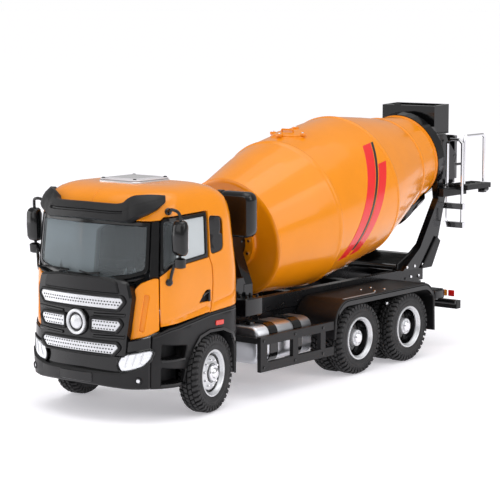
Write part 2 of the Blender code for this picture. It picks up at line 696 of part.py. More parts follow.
def make_front_axle():
    """A beam under the rails, and at each end a knuckle on its kingpin with the wheel's stub axle."""
    y = FRONT_AXLE
    eye = 1.8
    beam_low, beam_high = TYRE_RADIUS - 1.3, TYRE_RADIUS + 1.3
    axle = box("front_axle", "chassis", (-KINGPIN_X, y - 1.6, beam_low), (KINGPIN_X, y + 1.6, beam_high))
    for name, side in sides():
        spot = side * KINGPIN_X
        join(axle, rod(f"beam_eye_{name}", "chassis", (spot, y, beam_low), (spot, y, beam_high), eye))
        left, right = sorted((side * (RAIL_X - 1.0), side * (RAIL_X + 1.0)))
        corners = ((left, y - 5.0, beam_high - 0.5), (right, y + 5.0, RAIL_BOTTOM - GAP))
        join(axle, box(f"spring_{name}", "chassis", *corners))

    turn = math.radians(STEER_AT_REST)
    half = FRONT_TYRE_WIDTH / 2
    tyre_offset = TYRE_FACE - half - KINGPIN_X
    stub_end = tyre_offset + half - 1.6
    tyre = tyre_profile(FRONT_TYRE_WIDTH)
    bore = AXLE_RADIUS + GAP
    rim_out, rim_in = half - 0.3, 0.6 - half
    rim = [
        (0.0, half + 0.6),
        (2.0, half + 0.6),
        (4.0, half - 0.1),
        (4.4, half - 0.9),
        (RIM_RADIUS - 0.9, half - 1.0),
        (RIM_RADIUS - 0.8, rim_out),
        (RIM_RADIUS, rim_out),
        (RIM_RADIUS, rim_in),
        (RIM_RADIUS - 1.0, rim_in),
        (RIM_RADIUS - 1.6, half - 2.2),
        (bore, half - 2.2),
        (bore, half - 1.2),
        (0.0, half - 1.2),
    ]
    fork_low, fork_high = beam_low - GAP - 1.4, beam_high + GAP + 1.4
    levels = ((fork_low, beam_low - GAP), (beam_high + GAP, fork_high))
    height = Vector((0.0, 0.0, TYRE_RADIUS))
    for name, side in sides():
        pin = Vector((side * KINGPIN_X, y, 0.0))
        out = Vector((math.cos(turn), math.sin(turn), 0.0)) * side
        web = pin + out * 2.5
        corners = ((web.x - 0.45, web.y - 1.5, fork_low), (web.x + 0.45, web.y + 1.5, fork_high))
        knuckle = box(f"knuckle_{name}", "chassis", *corners, turn=STEER_AT_REST)
        link = pin + out * 1.3
        for i, (low, high) in enumerate(levels):
            corners = ((link.x - 1.3, link.y - 1.2, low), (link.x + 1.3, link.y + 1.2, high))
            join(knuckle, box(f"fork_link_{name}_{i}", "chassis", *corners, turn=STEER_AT_REST))
            join(knuckle, rod(f"fork_{name}_{i}", "chassis", (pin.x, y, low), (pin.x, y, high), eye, 12))
        stub = (pin + out * 2.4 + height, pin + out * stub_end + height)
        join(knuckle, rod(f"stub_{name}", "chassis", *stub, AXLE_RADIUS, 12))
        centre = pin + out * tyre_offset + height
        wheel = turned(f"rim_front_{name}", "plated", rim, centre, out, steps=18)
        carry(wheel, turned(f"tyre_front_{name}", "rubber", tyre, centre, out, steps=24, closed=True))
        pivot(f"kingpin_{name}", pin + height, (0, 0, 1), knuckle, wheel)


def arc(centre_y, centre_z, radius, start, end, steps):
    """Points (y, z) on a circle, at angles in degrees up from straight back."""
    points = []
    for i in range(steps + 1):
        angle = math.radians(start + (end - start) * i / steps)
        points.append((centre_y + radius * math.cos(angle), centre_z + radius * math.sin(angle)))
    return points


def make_front_fenders():
    """Each mudguard carries the cab's two steps in front of the wheel."""
    well = TYRE_RADIUS + 2.6
    skin = 1.8
    low = TYRE_RADIUS - 1.6
    top = CAB_BOTTOM - 0.6
    front = BUMPER_REAR + GAP
    y, z = FRONT_AXLE, TYRE_RADIUS
    for name, side in sides():
        outline = [(front, low), (front, top)]
        outline += arc(y, z, well + skin, 110, -6, 12)
        outline += arc(y, z, well, -6, 180, 14)
        outline.append((y - well, low))
        ends = sorted((side * (CAB_HALF - 7.0), side * CAB_HALF))
        fender = plate(f"front_fender_{name}", "plastic", outline, *ends)
        keep(fender, cab_form(f"fender_corner_{name}", "plastic", 0.0, high=CAB_BOTTOM + 4.0))
        left, right = sorted((side * (CAB_HALF - 4.6), side * (CAB_HALF + 1.0)))
        for i, (z0, z1) in enumerate(((low + 1.3, low + 5.6), (low + 7.6, low + 11.6))):
            corners = ((left, front + 1.4, z0), (right, FRONT_AXLE - well - 0.9, z1))
            cut(fender, box(f"step_{name}_{i}", "plastic", *corners))


def make_side_guards():
    """Two bars on three posts beside the tank, held to the rail by two stays. Returns the stays' ends."""
    front = CAB_REAR + 4.2
    rear = FENDER_FRONT - GAP
    upper = (TYRE_RADIUS + 4.4, TYRE_RADIUS + 6.8)
    lower = (TYRE_RADIUS - 3.0, TYRE_RADIUS - 0.5)
    span = rear - front
    middle = front + 0.43 * span
    posts = ((front, front + 3.0), (middle, middle + 2.4), (rear - 6.5, rear - 4.1))
    stays = [(posts[i][0] + 0.6, posts[i][0] + 2.0) for i in (0, 2)]
    for name, side in sides():
        left, right = sorted((side * (TYRE_FACE - 1.2), side * TYRE_FACE))
        guard = box(f"side_guard_{name}", "plastic", (left, front, upper[0]), (right, rear, upper[1]))
        join(guard, box(f"lower_bar_{name}", "plastic", (left, front, lower[0]), (right, rear, lower[1])))
        for i, (y0, y1) in enumerate(posts):
            corners = ((left, y0, lower[0] + 0.3), (right, y1, upper[1] - 0.3))
            join(guard, box(f"guard_post_{name}_{i}", "plastic", *corners))
        left, right = sorted((side * (RAIL_X + RAIL_WIDTH / 2 + GAP), side * (TYRE_FACE - 0.6)))
        for i, (y0, y1) in enumerate(stays):
            corners = ((left, y0, upper[0] + 0.3), (right, y1, upper[1] - 0.5))
            join(guard, box(f"guard_stay_{name}_{i}", "plastic", *corners))
    return stays


def make_tanks(stays):
    """The fuel tank on the left and the battery box on the right, between the stays of the side guards."""
    low, high = TYRE_RADIUS - 2.2, TYRE_RADIUS + 9.6
    inner, outer = RAIL_X + RAIL_WIDTH / 2 + 0.6, TYRE_FACE - 2.6
    front, rear = stays[0][1] + GAP, stays[1][0] - GAP
    wide, tight = 4.0, 1.0
    outline = []
    corners = (
        (outer - wide, high - wide, wide, 90),
        (inner + tight, high - tight, tight, 180),
        (inner + tight, low + tight, tight, 270),
        (outer - wide, low + wide, wide, 360),
    )
    for x, z, radius, end in corners:
        for angle in range(end - 90, end + 1, 30):
            turn = math.radians(angle)
            outline.append((x + radius * math.cos(turn), z + radius * math.sin(turn)))
    plate("fuel_tank", "tank", outline, front + 0.2, rear - 0.2, axis="Y")
    corners = ((1.0 - outer, front + 0.4, low + 1.0), (-inner, rear - 0.4, high - 1.0))
    box("battery_box", "gloss_black", *corners, bevel=0.8)


def make_rear_fenders():
    """One long mudguard over both rear wheels on each side, with a flap down behind them."""
    front = FENDER_FRONT
    rear = REAR_AXLES[1] + TYRE_RADIUS + 1.3
    top, under = TYRE_RADIUS * 2 + 1.9, TYRE_RADIUS * 2 + 0.7
    foot = TYRE_RADIUS - 3.0
    outline = [
        (front, TYRE_RADIUS + 2.2),
        (front + 1.2, top - 1.0),
        (front + 2.4, top),
        (rear - 0.8, top),
        (rear + 0.6, top - 1.0),
        (rear + 2.4, TYRE_RADIUS + 3.0),
        (rear + 2.0, foot),
        (rear + 0.9, foot),
        (rear + 1.2, TYRE_RADIUS + 3.0),
        (rear - 0.6, under),
        (front + 2.4, under),
        (front + 1.1, TYRE_RADIUS + 2.2),
    ]
    for name, side in sides():
        ends = sorted((side * (RAIL_X + RAIL_WIDTH / 2 + 0.8), side * (TYRE_FACE + 0.3)))
        plate(f"rear_fender_{name}", "plastic", outline, *ends)


def make_rear_bumper():
    y = CHASSIS_REAR + GAP
    half = TYRE_FACE - 2.0
    corners = ((-half, y + 0.6, RAIL_BOTTOM - 3.2), (half, y + 3.0, RAIL_BOTTOM - 0.6))
    bumper = box("rear_bumper", "plastic", *corners)
    half = RAIL_X + 1.0
    corners = ((-half, y, RAIL_BOTTOM - 2.0), (half, y + 2.4, RAIL_TOP - 1.0))
    join(bumper, box("tow_bracket", "plastic", *corners))


# ---------------------------------------------------------------- drum and rear end


def on_axis(distance, up=0.0):
    """A point (y, z) at a distance along the drum's axis and up across it."""
    return (
        DRUM_FRONT + distance * math.cos(TILT) - up * math.sin(TILT),
        DRUM_FRONT_HEIGHT + distance * math.sin(TILT) + up * math.cos(TILT),
    )


def drum_profile():
    """Outer side of the drum from the mouth to the front hub, with the three rolled beads."""
    bead = 0.45
    cone_end = FRONT_CONE + BARREL
    collar = cone_end + REAR_CONE
    mouth = collar + REAR_COLLAR
    collar_radius = MOUTH_RADIUS + 1.7
    outer = [(NECK_RADIUS, DRUM_LENGTH), (NECK_RADIUS, mouth)]
    outer += [(MOUTH_RADIUS, mouth), (collar_radius, collar)]
    outer += [(collar_radius + bead, collar), (collar_radius, collar - 0.8)]
    for place in (cone_end, FRONT_CONE):
        outer += [(BARREL_RADIUS, place + 0.8), (BARREL_RADIUS + bead, place), (BARREL_RADIUS, place - 0.8)]
    outer += [(HEAD_RADIUS, 0.6), (HEAD_RADIUS - 0.6, 0.0), (HUB_RADIUS + 1.0, 0.0)]
    outer += [(HUB_RADIUS, -HUB_DEPTH), (0.0, -HUB_DEPTH)]
    wall = DRUM_WALL
    inner = [
        (0.0, wall),
        (HEAD_RADIUS - 1.4, wall),
        (BARREL_RADIUS - wall, FRONT_CONE),
        (BARREL_RADIUS - wall, cone_end),
        (collar_radius - wall, collar),
        (NECK_RADIUS - wall, mouth),
        (NECK_RADIUS - wall, DRUM_LENGTH),
    ]
    return outer + inner


def make_drum():
    """The drum, its manhole cover and the gearbox hub that turns it, on the front pedestal."""
    drum = turned("drum_shell", "paint", drum_profile(), DRUM_ORIGIN, DRUM_ALONG, steps=32, closed=True)

    middle, reach = FRONT_CONE + 12.0, 4.5
    lid_out, lid_in = BARREL_RADIUS + 1.6, BARREL_RADIUS + GAP
    band = [
        (lid_out, middle + reach),
        (lid_out, middle - reach),
        (lid_in, middle - reach),
        (lid_in, middle + reach),
    ]
    hatch = turned("drum_hatch", "paint", band, DRUM_ORIGIN, DRUM_ALONG, steps=72, closed=True)
    y, z = on_axis(middle, BARREL_RADIUS)
    keep(hatch, box("hatch_limits", "paint", (-6.4, y - 8.0, z - 6.0), (6.4, y + 8.0, z + 6.0)))
    carry(drum, hatch)

    face, shaft, flange = -HUB_DEPTH - GAP, 5.0, 6.4
    profile = [(0.0, face), (flange, face), (flange, -4.2), (shaft, -4.2), (shaft, -8.4), (0.0, -8.4)]
    turned("drive_hub", "gloss_black", profile, DRUM_ORIGIN, DRUM_ALONG, steps=24)

    hub_y, hub_z = on_axis(-6.4)
    base = SUBFRAME_TOP + GAP
    foot, neck = 12.5, 8.4
    half_outline = [(foot, base), (foot, base + 5.0), (neck, hub_z), (neck, hub_z + 7.2)]
    outline = half_outline + [(-x, z) for x, z in reversed(half_outline)]
    pedestal = plate("front_pedestal", "gloss_black", outline, hub_y - 3.4, hub_y + 0.4, axis="Y")
    ends = [(0.0, *on_axis(distance)) for distance in (-14.0, 2.0)]
    cut(pedestal, rod("hub_bore", "gloss_black", *ends, shaft + GAP, 24))


def make_rear_pedestal():
    """Two leaning side plates on the subframe that carry the ring in which the drum's neck turns."""
    ring_low = DRUM_LENGTH - NECK + GAP
    ring_high = DRUM_LENGTH - 0.2
    bore, rim = NECK_RADIUS + GAP, NECK_RADIUS + RING_WALL
    ring = [(rim, ring_high), (rim, ring_low), (bore, ring_low), (bore, ring_high)]
    pedestal = turned("rear_pedestal", "gloss_black", ring, DRUM_ORIGIN, DRUM_ALONG, steps=32, closed=True)
    base = SUBFRAME_TOP + GAP
    foot_front, foot_rear = CHASSIS_REAR - 15.0, CHASSIS_REAR - 0.6
    shoulder = 7.4
    top_y, top_z = on_axis(ring_high, -shoulder)
    outline = [
        (foot_front, base),
        (foot_rear, base),
        (foot_rear + 4.8, base + 6.0),
        (top_y + 2.0, top_z - 6.0),
        (top_y, top_z),
        on_axis(ring_low + 0.4, -shoulder),
        on_axis(ring_low + 0.2, -13.0),
        (foot_front + 9.6, base + 6.4),
    ]
    for name, side in sides():
        ends = sorted((side * 10.4, side * 12.6))
        join(pedestal, plate(f"pedestal_plate_{name}", "gloss_black", outline, *ends))
    tie = ((-11.0, foot_rear - 4.0, base), (11.0, foot_rear - 1.0, base + 4.0))
    join(pedestal, box("pedestal_tie", "gloss_black", *tie))


def make_hopper():
    """The feed hopper over the drum's mouth. Returns its underside."""
    half = HOPPER_WIDTH / 2
    front, rear = HOPPER_FRONT, HOPPER_REAR
    low = HOPPER_TOP - HOPPER_HEIGHT
    lip = HOPPER_TOP + 0.4
    outline = [(front, low + 2.4), (front, HOPPER_TOP), (rear, lip), (rear, low), (front + 3.0, low)]
    hopper = plate("hopper", "gloss_black", outline, -half, half)
    near, far, above = front + SHEET, rear - SHEET, HOPPER_TOP + 3.0
    hollow = [(near, low + 3.0), (near, above), (far, above), (far, low + 1.2), (front + 3.4, low + 1.2)]
    cut(hopper, plate("hopper_hollow", "gloss_black", hollow, SHEET - half, half - SHEET))
    return low


def make_funnel_and_chute(hopper_low):
    """The funnel under the drum's mouth, and the chute folded up on a turning bracket behind it."""
    front, rear = HOPPER_FRONT, HOPPER_REAR
    top, foot = hopper_low - GAP, PLATFORM_HEIGHT - 0.4
    back = rear + FUNNEL_REACH
    half = 8.2
    outline = [
        (front + 4.2, top),
        (rear + 1.2, top),
        (rear + 6.6, top - 9.0),
        (back, foot + 2.0),
        (rear + 5.0, foot),
        (rear - 1.0, foot),
        (front + 5.6, top - 9.0),
    ]
    hollow = [
        (front - 4.0, top - 1.2),
        (rear + 0.3, top - 1.2),
        (rear + 5.4, top - 9.2),
        (rear + 5.8, foot + 2.4),
        (rear - 0.4, foot + 1.6),
        (front - 4.0, top - 9.6),
    ]
    funnel = plate("discharge_funnel", "gloss_black", outline, -half, half)
    cut(funnel, plate("funnel_hollow", "gloss_black", hollow, SHEET - half, half - SHEET))

    radius, turn_y = CHUTE_RADIUS, CHUTE_TURN_Y
    shelf_top = foot - 1.0
    shelf_half, shelf_front = 2.2, rear + 1.0
    shelf = ((-shelf_half, shelf_front, shelf_top - 1.6), (shelf_half, turn_y + 2.2, shelf_top))
    root = ((-shelf_half, shelf_front, shelf_top - 1.0), (shelf_half, shelf_front + 3.0, foot + 0.8))
    join(funnel, box("chute_shelf", "gloss_black", *shelf))
    join(funnel, box("shelf_root", "gloss_black", *root))
    disc_low = shelf_top + GAP
    disc_high = disc_low + 1.4
    hinge_y = turn_y + radius / 2 + GAP
    disc = [(0.0, disc_high), (CHUTE_DISC, disc_high), (CHUTE_DISC, disc_low), (0.0, disc_low)]
    bracket = turned("chute_bracket", "gloss_black", disc, (0.0, turn_y, 0.0), (0, 0, 1), steps=16)
    tab = ((-1.6, turn_y, disc_low), (1.6, hinge_y + 0.2, disc_high))
    join(bracket, box("bracket_tab", "gloss_black", *tab))
    trough = []
    for size, angles in ((radius, range(0, 181, 20)), (radius - 0.9, range(180, -1, -20))):
        for angle in angles:
            turn = math.radians(angle)
            trough.append((size * math.cos(turn), turn_y - radius / 2 + size * math.sin(turn)))
    chute_low = disc_high + GAP
    chute = plate("chute", "gloss_black", trough, chute_low, chute_low + CHUTE_LENGTH, axis="Z")
    hinge = pivot("chute_fold", (0.0, hinge_y, disc_high + GAP / 2), (-1, 0, 0), chute)
    carry(bracket, hinge)


def make_access():
    """Platform, ladder and guard rail beside the hopper, on the truck's left."""
    x0, x1 = LADDER_X, LADDER_X + PLATFORM_WIDTH
    front, rear = PLATFORM_FRONT, PLATFORM_FRONT + PLATFORM_LENGTH
    top = PLATFORM_HEIGHT
    platform = box("platform", "plastic", (x0, front, top - 1.6), (x1, rear, top))
    strut = ((x0 + 2.3, front - 8.0, top - 3.4), (x0 + 3.9, front + 6.0, top - 0.8))
    lug = ((x1 - 3.0, rear - 3.0, top - 3.2), (x1 - 1.0, rear - 1.0, top - 1.0))
    join(platform, box("platform_strut", "plastic", *strut), box("platform_lug", "plastic", *lug))

    wire = 0.5
    foot = PLATFORM_HEIGHT - 13.6
    crown = PLATFORM_HEIGHT + 14.6
    y = front - wire - GAP - 0.4
    left = x1 - 1.4
    right = left - LADDER_WIDTH
    bend = 1.2
    half_loop = [(left, foot), (left, crown - bend), (left - bend, crown)]
    loop = half_loop + [(left + right - x, z) for x, z in reversed(half_loop)]
    ladder = tube("ladder", "chrome", [(x, y, z) for x, z in loop], wire)
    for i in range(2):
        z = foot + 0.8 + i * 6.0
        corners = ((right - 1.2, y - 0.9, z - 0.9), (left + 0.9, y + 0.8, z + 0.9))
        join(ladder, box(f"rung_{i}", "plastic", *corners))

    rail_front, rail_rear = rear - 13.2, rear - 1.0
    x = x1 - 2.2
    foot = top + GAP
    crown = top + 15.6
    bend = 1.0
    half_loop = [(rail_front, foot), (rail_front, crown - bend), (rail_front + bend, crown)]
    loop = half_loop + [(rail_front + rail_rear - y, z) for y, z in reversed(half_loop)]
    tube("guard_rail", "chrome", [(x, y, z) for y, z in loop], wire)


def make_finishes():
    finish("paint", (0.95, 0.35, 0.02), 0.25)
    finish("plastic", (0.045, 0.042, 0.047), 0.55)
    finish("gloss_black", (0.015, 0.015, 0.017), 0.22)
    finish("chassis", (0.03, 0.03, 0.033), 0.45)
    finish("cabin", (0.06, 0.06, 0.065), 0.6)
    finish("glass", (0.8, 0.85, 0.88), 0.05)
    finish("lamp", (0.85, 0.87, 0.9), 0.1)
    finish("hatch", (0.75, 0.75, 0.72), 0.3)
    finish("plated", (0.75, 0.76, 0.78), 0.25, 1.0)
    finish("chrome", (0.85, 0.85, 0.87), 0.08, 1.0)
    finish("steel", (0.6, 0.6, 0.62), 0.3, 1.0)
    finish("tank", (0.65, 0.66, 0.68), 0.35, 1.0)
    finish("rubber", (0.03, 0.03, 0.032), 0.8)


def main():
    global parts, cutters
    for old in list(bpy.data.objects):
        bpy.data.objects.remove(old)
    parts = bpy.data.collections.new("toy_concrete_mixer")
    cutters = bpy.data.collections.new("cutters")
    bpy.context.scene.collection.children.link(parts)
    bpy.context.scene.collection.children.link(cutters)
    make_finishes()
    make_cab()
    make_interior()
    make_doors()
    make_cab_front()
    make_roof_and_intake()
    make_chassis()
    make_rear_axles()
    make_front_axle()
    make_front_fenders()
    make_tanks(make_side_guards())
    make_rear_fenders()
    make_rear_bumper()
    make_drum()
    make_rear_pedestal()
    make_funnel_and_chute(make_hopper())
    make_access()


main()
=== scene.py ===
"""Looks of the toy concrete mixer truck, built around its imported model.

Sizes are in millimetres. Along the truck they are measured back from the face of the front bumper, and
at() turns them into places in metres.
"""

import json
import math

import bmesh
import bpy
import numpy as np
from mathutils import Matrix, Vector
from mathutils.geometry import delaunay_2d_cdt


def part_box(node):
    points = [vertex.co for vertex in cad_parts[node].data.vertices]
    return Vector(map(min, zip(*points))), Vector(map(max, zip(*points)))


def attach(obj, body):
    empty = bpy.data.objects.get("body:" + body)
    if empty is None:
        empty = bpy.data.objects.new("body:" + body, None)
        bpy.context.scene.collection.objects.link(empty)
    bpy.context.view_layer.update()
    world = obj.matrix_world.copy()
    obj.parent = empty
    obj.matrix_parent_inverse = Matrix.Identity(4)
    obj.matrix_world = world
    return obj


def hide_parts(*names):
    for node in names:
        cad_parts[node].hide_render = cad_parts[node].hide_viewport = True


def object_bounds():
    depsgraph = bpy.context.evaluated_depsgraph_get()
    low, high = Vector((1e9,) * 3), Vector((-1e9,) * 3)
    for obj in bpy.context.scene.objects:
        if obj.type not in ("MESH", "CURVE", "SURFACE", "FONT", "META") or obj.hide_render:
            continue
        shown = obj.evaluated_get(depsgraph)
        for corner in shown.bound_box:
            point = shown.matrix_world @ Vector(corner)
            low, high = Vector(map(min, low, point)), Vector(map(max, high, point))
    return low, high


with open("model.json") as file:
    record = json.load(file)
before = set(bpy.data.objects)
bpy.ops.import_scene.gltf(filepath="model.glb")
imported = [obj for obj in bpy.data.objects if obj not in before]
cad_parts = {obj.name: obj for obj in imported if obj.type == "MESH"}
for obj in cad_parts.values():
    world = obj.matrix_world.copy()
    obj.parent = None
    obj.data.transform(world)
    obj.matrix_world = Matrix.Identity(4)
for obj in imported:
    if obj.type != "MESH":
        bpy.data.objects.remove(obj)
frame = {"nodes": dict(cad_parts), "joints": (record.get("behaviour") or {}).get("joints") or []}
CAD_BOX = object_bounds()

bl_info = {
    "name": "Toy Concrete Mixer",
    "version": (1, 0, 0),
    "blender": (4, 5, 0),
    "location": "3D View > Sidebar > Mixer",
    "description": "Builds the detailed pieces of a toy concrete mixer truck around its packed model",
    "category": "Object",
}

MM = 0.001
FRONT_Y = CAD_BOX[0].y
SIDES = (("left", 1), ("right", -1))
JOINTS = {joint["name"]: joint for joint in frame["joints"]}
AXLE_Z = JOINTS["rear_axle_1_spin"]["pos_m"][2] / MM
TYRE_RADIUS = AXLE_Z
CAB_LOW, CAB_HIGH = (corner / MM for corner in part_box("cab_shell"))
LEVEL = CAB_LOW.z - 24.6  # how much higher the cab stands than the sizes below say


def at(x, y, z):
    """The place in metres of a point in truck millimetres."""
    return Vector((x * MM, y * MM + FRONT_Y, z * MM))


def joint_place(joint):
    """A joint's place in truck millimetres."""
    return Vector(JOINTS[joint]["pos_m"]) / MM - Vector((0, FRONT_Y / MM, 0))


def extent(node):
    """A node's lowest and highest corner in truck millimetres."""
    shift = Vector((0.0, FRONT_Y, 0.0))
    return tuple((corner - shift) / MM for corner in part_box(node))


# ------------------------------------------------------------------ finishes


class Field:
    """A shader socket that arithmetic works on. Each operator adds the Math node that does it."""

    def __init__(self, finish, socket):
        self.finish = finish
        self.socket = socket

    def maths(self, operation, *terms):
        return self.finish.node("ShaderNodeMath", {"operation": operation}, dict(enumerate(terms)))

    def __add__(self, other):
        return self.maths("ADD", self, other)

    def __radd__(self, other):
        return self.maths("ADD", other, self)

    def __sub__(self, other):
        return self.maths("SUBTRACT", self, other)

    def __rsub__(self, other):
        return self.maths("SUBTRACT", other, self)

    def __mul__(self, other):
        return self.maths("MULTIPLY", self, other)

    def __rmul__(self, other):
        return self.maths("MULTIPLY", other, self)

    def __truediv__(self, other):
        return self.maths("DIVIDE", self, other)

    def __rtruediv__(self, other):
        return self.maths("DIVIDE", other, self)

    def __gt__(self, other):
        return self.maths("GREATER_THAN", self, other)


class Finish:
    """A material whose nodes are added one expression at a time."""

    def __init__(self, name):
        self.material = bpy.data.materials.new(name)
        self.material.use_nodes = True
        self.tree = self.material.node_tree
        self.shader = self.tree.nodes["Principled BSDF"]
        self.output = self.tree.nodes["Material Output"]

    def node(self, kind, settings=None, sockets=None, out=0):
        """Adds a node: its settings first, then the values or links of its sockets."""
        node = self.tree.nodes.new(kind)
        for key, value in (settings or {}).items():
            if key == "stops":
                ramp = node.color_ramp
                while len(ramp.elements) < len(value):
                    ramp.elements.new(1.0)
                for element, (place, level) in zip(ramp.elements, value):
                    element.position = place
                    element.color = (level, level, level, 1.0)
            else:
                setattr(node, key, value)
        for key, value in (sockets or {}).items():
            self.feed(node.inputs[key], value)
        return Field(self, node.outputs[out])

    def feed(self, socket, value):
        if isinstance(value, Field):
            self.tree.links.new(value.socket, socket)
        elif isinstance(value, (tuple, list)) and len(value) == 3 and len(socket.default_value) == 4:
            socket.default_value = (*value, 1.0)
        else:
            socket.default_value = value

    def set(self, **sockets):
        """Sets the main shader's sockets, named with underscores."""
        for key, value in sockets.items():
            self.feed(self.shader.inputs[key.replace("_", " ")], value)
        return self

    def place(self):
        return self.node("ShaderNodeTexCoord", out=3)

    def noise(self, size, detail=3.0, roughness=0.5, stretch=None):
        """Noise whose features are about size millimetres across."""
        place = self.place()
        if stretch:
            place = self.node("ShaderNodeMapping", {}, {0: place, 3: stretch})
        return self.node(
            "ShaderNodeTexNoise", {},
            {"Vector": place, "Scale": 1.0 / (size * MM), "Detail": detail, "Roughness": roughness}
        )

    def ramp(self, field, low, high):
        """0 below low, 1 above high."""
        return self.node("ShaderNodeMapRange", {}, {0: field, 1: low, 2: high})

    def mix(self, share, first, second):
        return self.node("ShaderNodeMix", {"data_type": "RGBA"}, {0: share, 6: first, 7: second}, out=2)

    def bump(self, height, depth, strength=1.0):
        """A normal from a height field; depth is in millimetres."""
        return self.node(
            "ShaderNodeBump", {}, {"Height": height, "Distance": depth * MM, "Strength": strength}
        )


def worn(
    name, colour, roughness, spread=0.12, metallic=0.0, coat=0.0, grain=0.35, depth=0.012, tone=0.12,
    gloss=0.35
):
    """A moulded or painted surface: uneven gloss, a fine grain and a slight drift in tone."""
    finish = Finish(name)
    cloud = finish.noise(9.0, 4.0, 0.6)
    fine = finish.noise(grain, 2.0, 0.6)
    dark = tuple(c * (1 - tone) for c in colour)
    light = tuple(min(c * (1 + tone), 1.0) for c in colour)
    finish.set(
        Base_Color=finish.mix(finish.ramp(cloud, 0.3, 0.7), dark, light),
        Roughness=roughness + spread * (cloud - 0.5) + 0.5 * spread * (fine - 0.5),
        Metallic=metallic,
        Coat_Weight=coat,
        Coat_Roughness=0.06,
        Specular_IOR_Level=gloss,
        Normal=finish.bump(fine, depth),
    )
    return finish


def make_finishes(colours):
    """Every finish of the truck, by name."""
    made = {}
    paint = tuple(colours.paint)
    made["paint"] = worn(
        "mixer_paint", paint, 0.24, 0.06, coat=0.35, grain=0.7, depth=0.004, tone=0.03, gloss=0.3
    )
    made["plastic"] = worn(
        "satin_black_plastic", tuple(colours.plastic), 0.4, 0.14, grain=0.22, depth=0.015, gloss=0.3
    )
    made["gloss_black"] = worn(
        "gloss_black_plastic", (0.0035, 0.0035, 0.004), 0.14, 0.06, coat=0.25, grain=1.1, depth=0.006,
        gloss=0.3
    )
    made["chassis"] = worn(
        "chassis_enamel", (0.006, 0.006, 0.007), 0.28, 0.12, coat=0.1, grain=0.5, depth=0.01, gloss=0.3
    )
    made["cabin"] = worn("cabin_plastic", (0.03, 0.03, 0.034), 0.6, 0.1, grain=0.3, depth=0.02)
    # Near-black: painted shade in the grille's holes, the door handles' recesses, the skirt's step wells and
    # wheel arches; also the seats' own colour.
    made["shade_and_seat_black"] = worn("painted_shade_and_seat_black", (0.005, 0.005, 0.006), 0.6, 0.1)
    made["hatch"] = worn("smoke_plastic", (0.62, 0.6, 0.62), 0.16, 0.06, coat=0.8)
    made["red"] = worn(
        "print_red", (0.75, 0.012, 0.012), 0.32, 0.06, coat=0.5, grain=0.5, depth=0.004, tone=0.05
    )
    made["ink"] = worn("print_black", (0.008, 0.007, 0.008), 0.34, 0.06, coat=0.5, grain=0.5, depth=0.004)
    made["marker"] = worn("red_reflector", (0.7, 0.03, 0.015), 0.18, 0.05, coat=0.8, grain=0.4, depth=0.03)
    made["amber"] = worn("amber_lens", (0.9, 0.3, 0.02), 0.15, 0.05, coat=0.8)

    rubber = Finish("tyre_rubber")
    dust = rubber.noise(3.0, 5.0, 0.65)
    pores = rubber.noise(0.25, 2.0)
    rubber.set(
        Base_Color=rubber.mix(rubber.ramp(dust, 0.35, 0.75), (0.014, 0.014, 0.015), (0.034, 0.033, 0.034)),
        Roughness=0.62 + 0.2 * (dust - 0.5),
        Specular_IOR_Level=0.35,
        Normal=rubber.bump(pores, 0.02),
    )
    made["rubber"] = rubber

    for name, tone, roughness, stretch in (
        ("plated", (0.78, 0.79, 0.81), 0.2, (1.0, 1.0, 1.0)),
        ("tank", (0.62, 0.63, 0.66), 0.34, (6.0, 0.6, 6.0)),
        ("steel", (0.55, 0.55, 0.57), 0.3, (0.6, 6.0, 6.0)),
        ("chrome", (0.82, 0.82, 0.84), 0.1, (1.0, 1.0, 1.0)),
    ):
        metal = Finish(f"{name}_metal")
        streak = metal.noise(1.2, 4.0, 0.6, stretch)
        cloud = metal.noise(6.0, 3.0)
        metal.set(
            Base_Color=metal.mix(cloud, tuple(0.9 * c for c in tone), tone),
            Roughness=roughness + 0.16 * (streak - 0.5) + 0.08 * (cloud - 0.5),
            Metallic=1.0,
            Normal=metal.bump(streak, 0.006),
        )
        made[name] = metal

    silver = Finish("silver_paint")
    flake = silver.noise(0.12, 2.0)
    cloud = silver.noise(5.0, 3.0)
    silver.set(
        Base_Color=silver.mix(cloud, (0.60, 0.61, 0.63), (0.74, 0.75, 0.77)),
        Roughness=0.3 + 0.2 * (flake - 0.5),
        Metallic=0.55,
        Coat_Weight=0.3,
        Normal=silver.bump(flake, 0.006),
    )
    made["silver"] = silver

    lens = Finish("lamp_lens")
    ribs = lens.noise(0.8, 1.0, 0.5, (1.0, 0.2, 3.0))
    lens.set(
        Base_Color=lens.mix(ribs, (0.72, 0.74, 0.78), (0.92, 0.93, 0.96)),
        Roughness=0.1 + 0.1 * (ribs - 0.5),
        Metallic=0.35,
        Coat_Weight=1.0,
        Normal=lens.bump(ribs, 0.04),
    )
    made["lamp"] = lens

    glass = Finish("clear_glazing")
    smear = glass.noise(12.0, 3.0)
    glass.set(
        Base_Color=(0.75, 0.8, 0.82),
        Roughness=0.02 + 0.03 * smear,
        Metallic=0.0,
    )
    clear = glass.node("ShaderNodeBsdfTransparent", {}, {0: (0.6, 0.64, 0.66)})
    edge = glass.node("ShaderNodeLayerWeight", {}, {0: 0.35}, out=0)
    glass.tree.links.new(
        glass.node(
            "ShaderNodeMixShader", {},
            {0: 0.06 + 0.6 * edge, 1: clear, 2: Field(glass, glass.shader.outputs[0])}
        ).socket,
        glass.output.inputs["Surface"],
    )
    made["glass"] = glass
    return {name: finish.material for name, finish in made.items()}


# ------------------------------------------------------------------ shapes


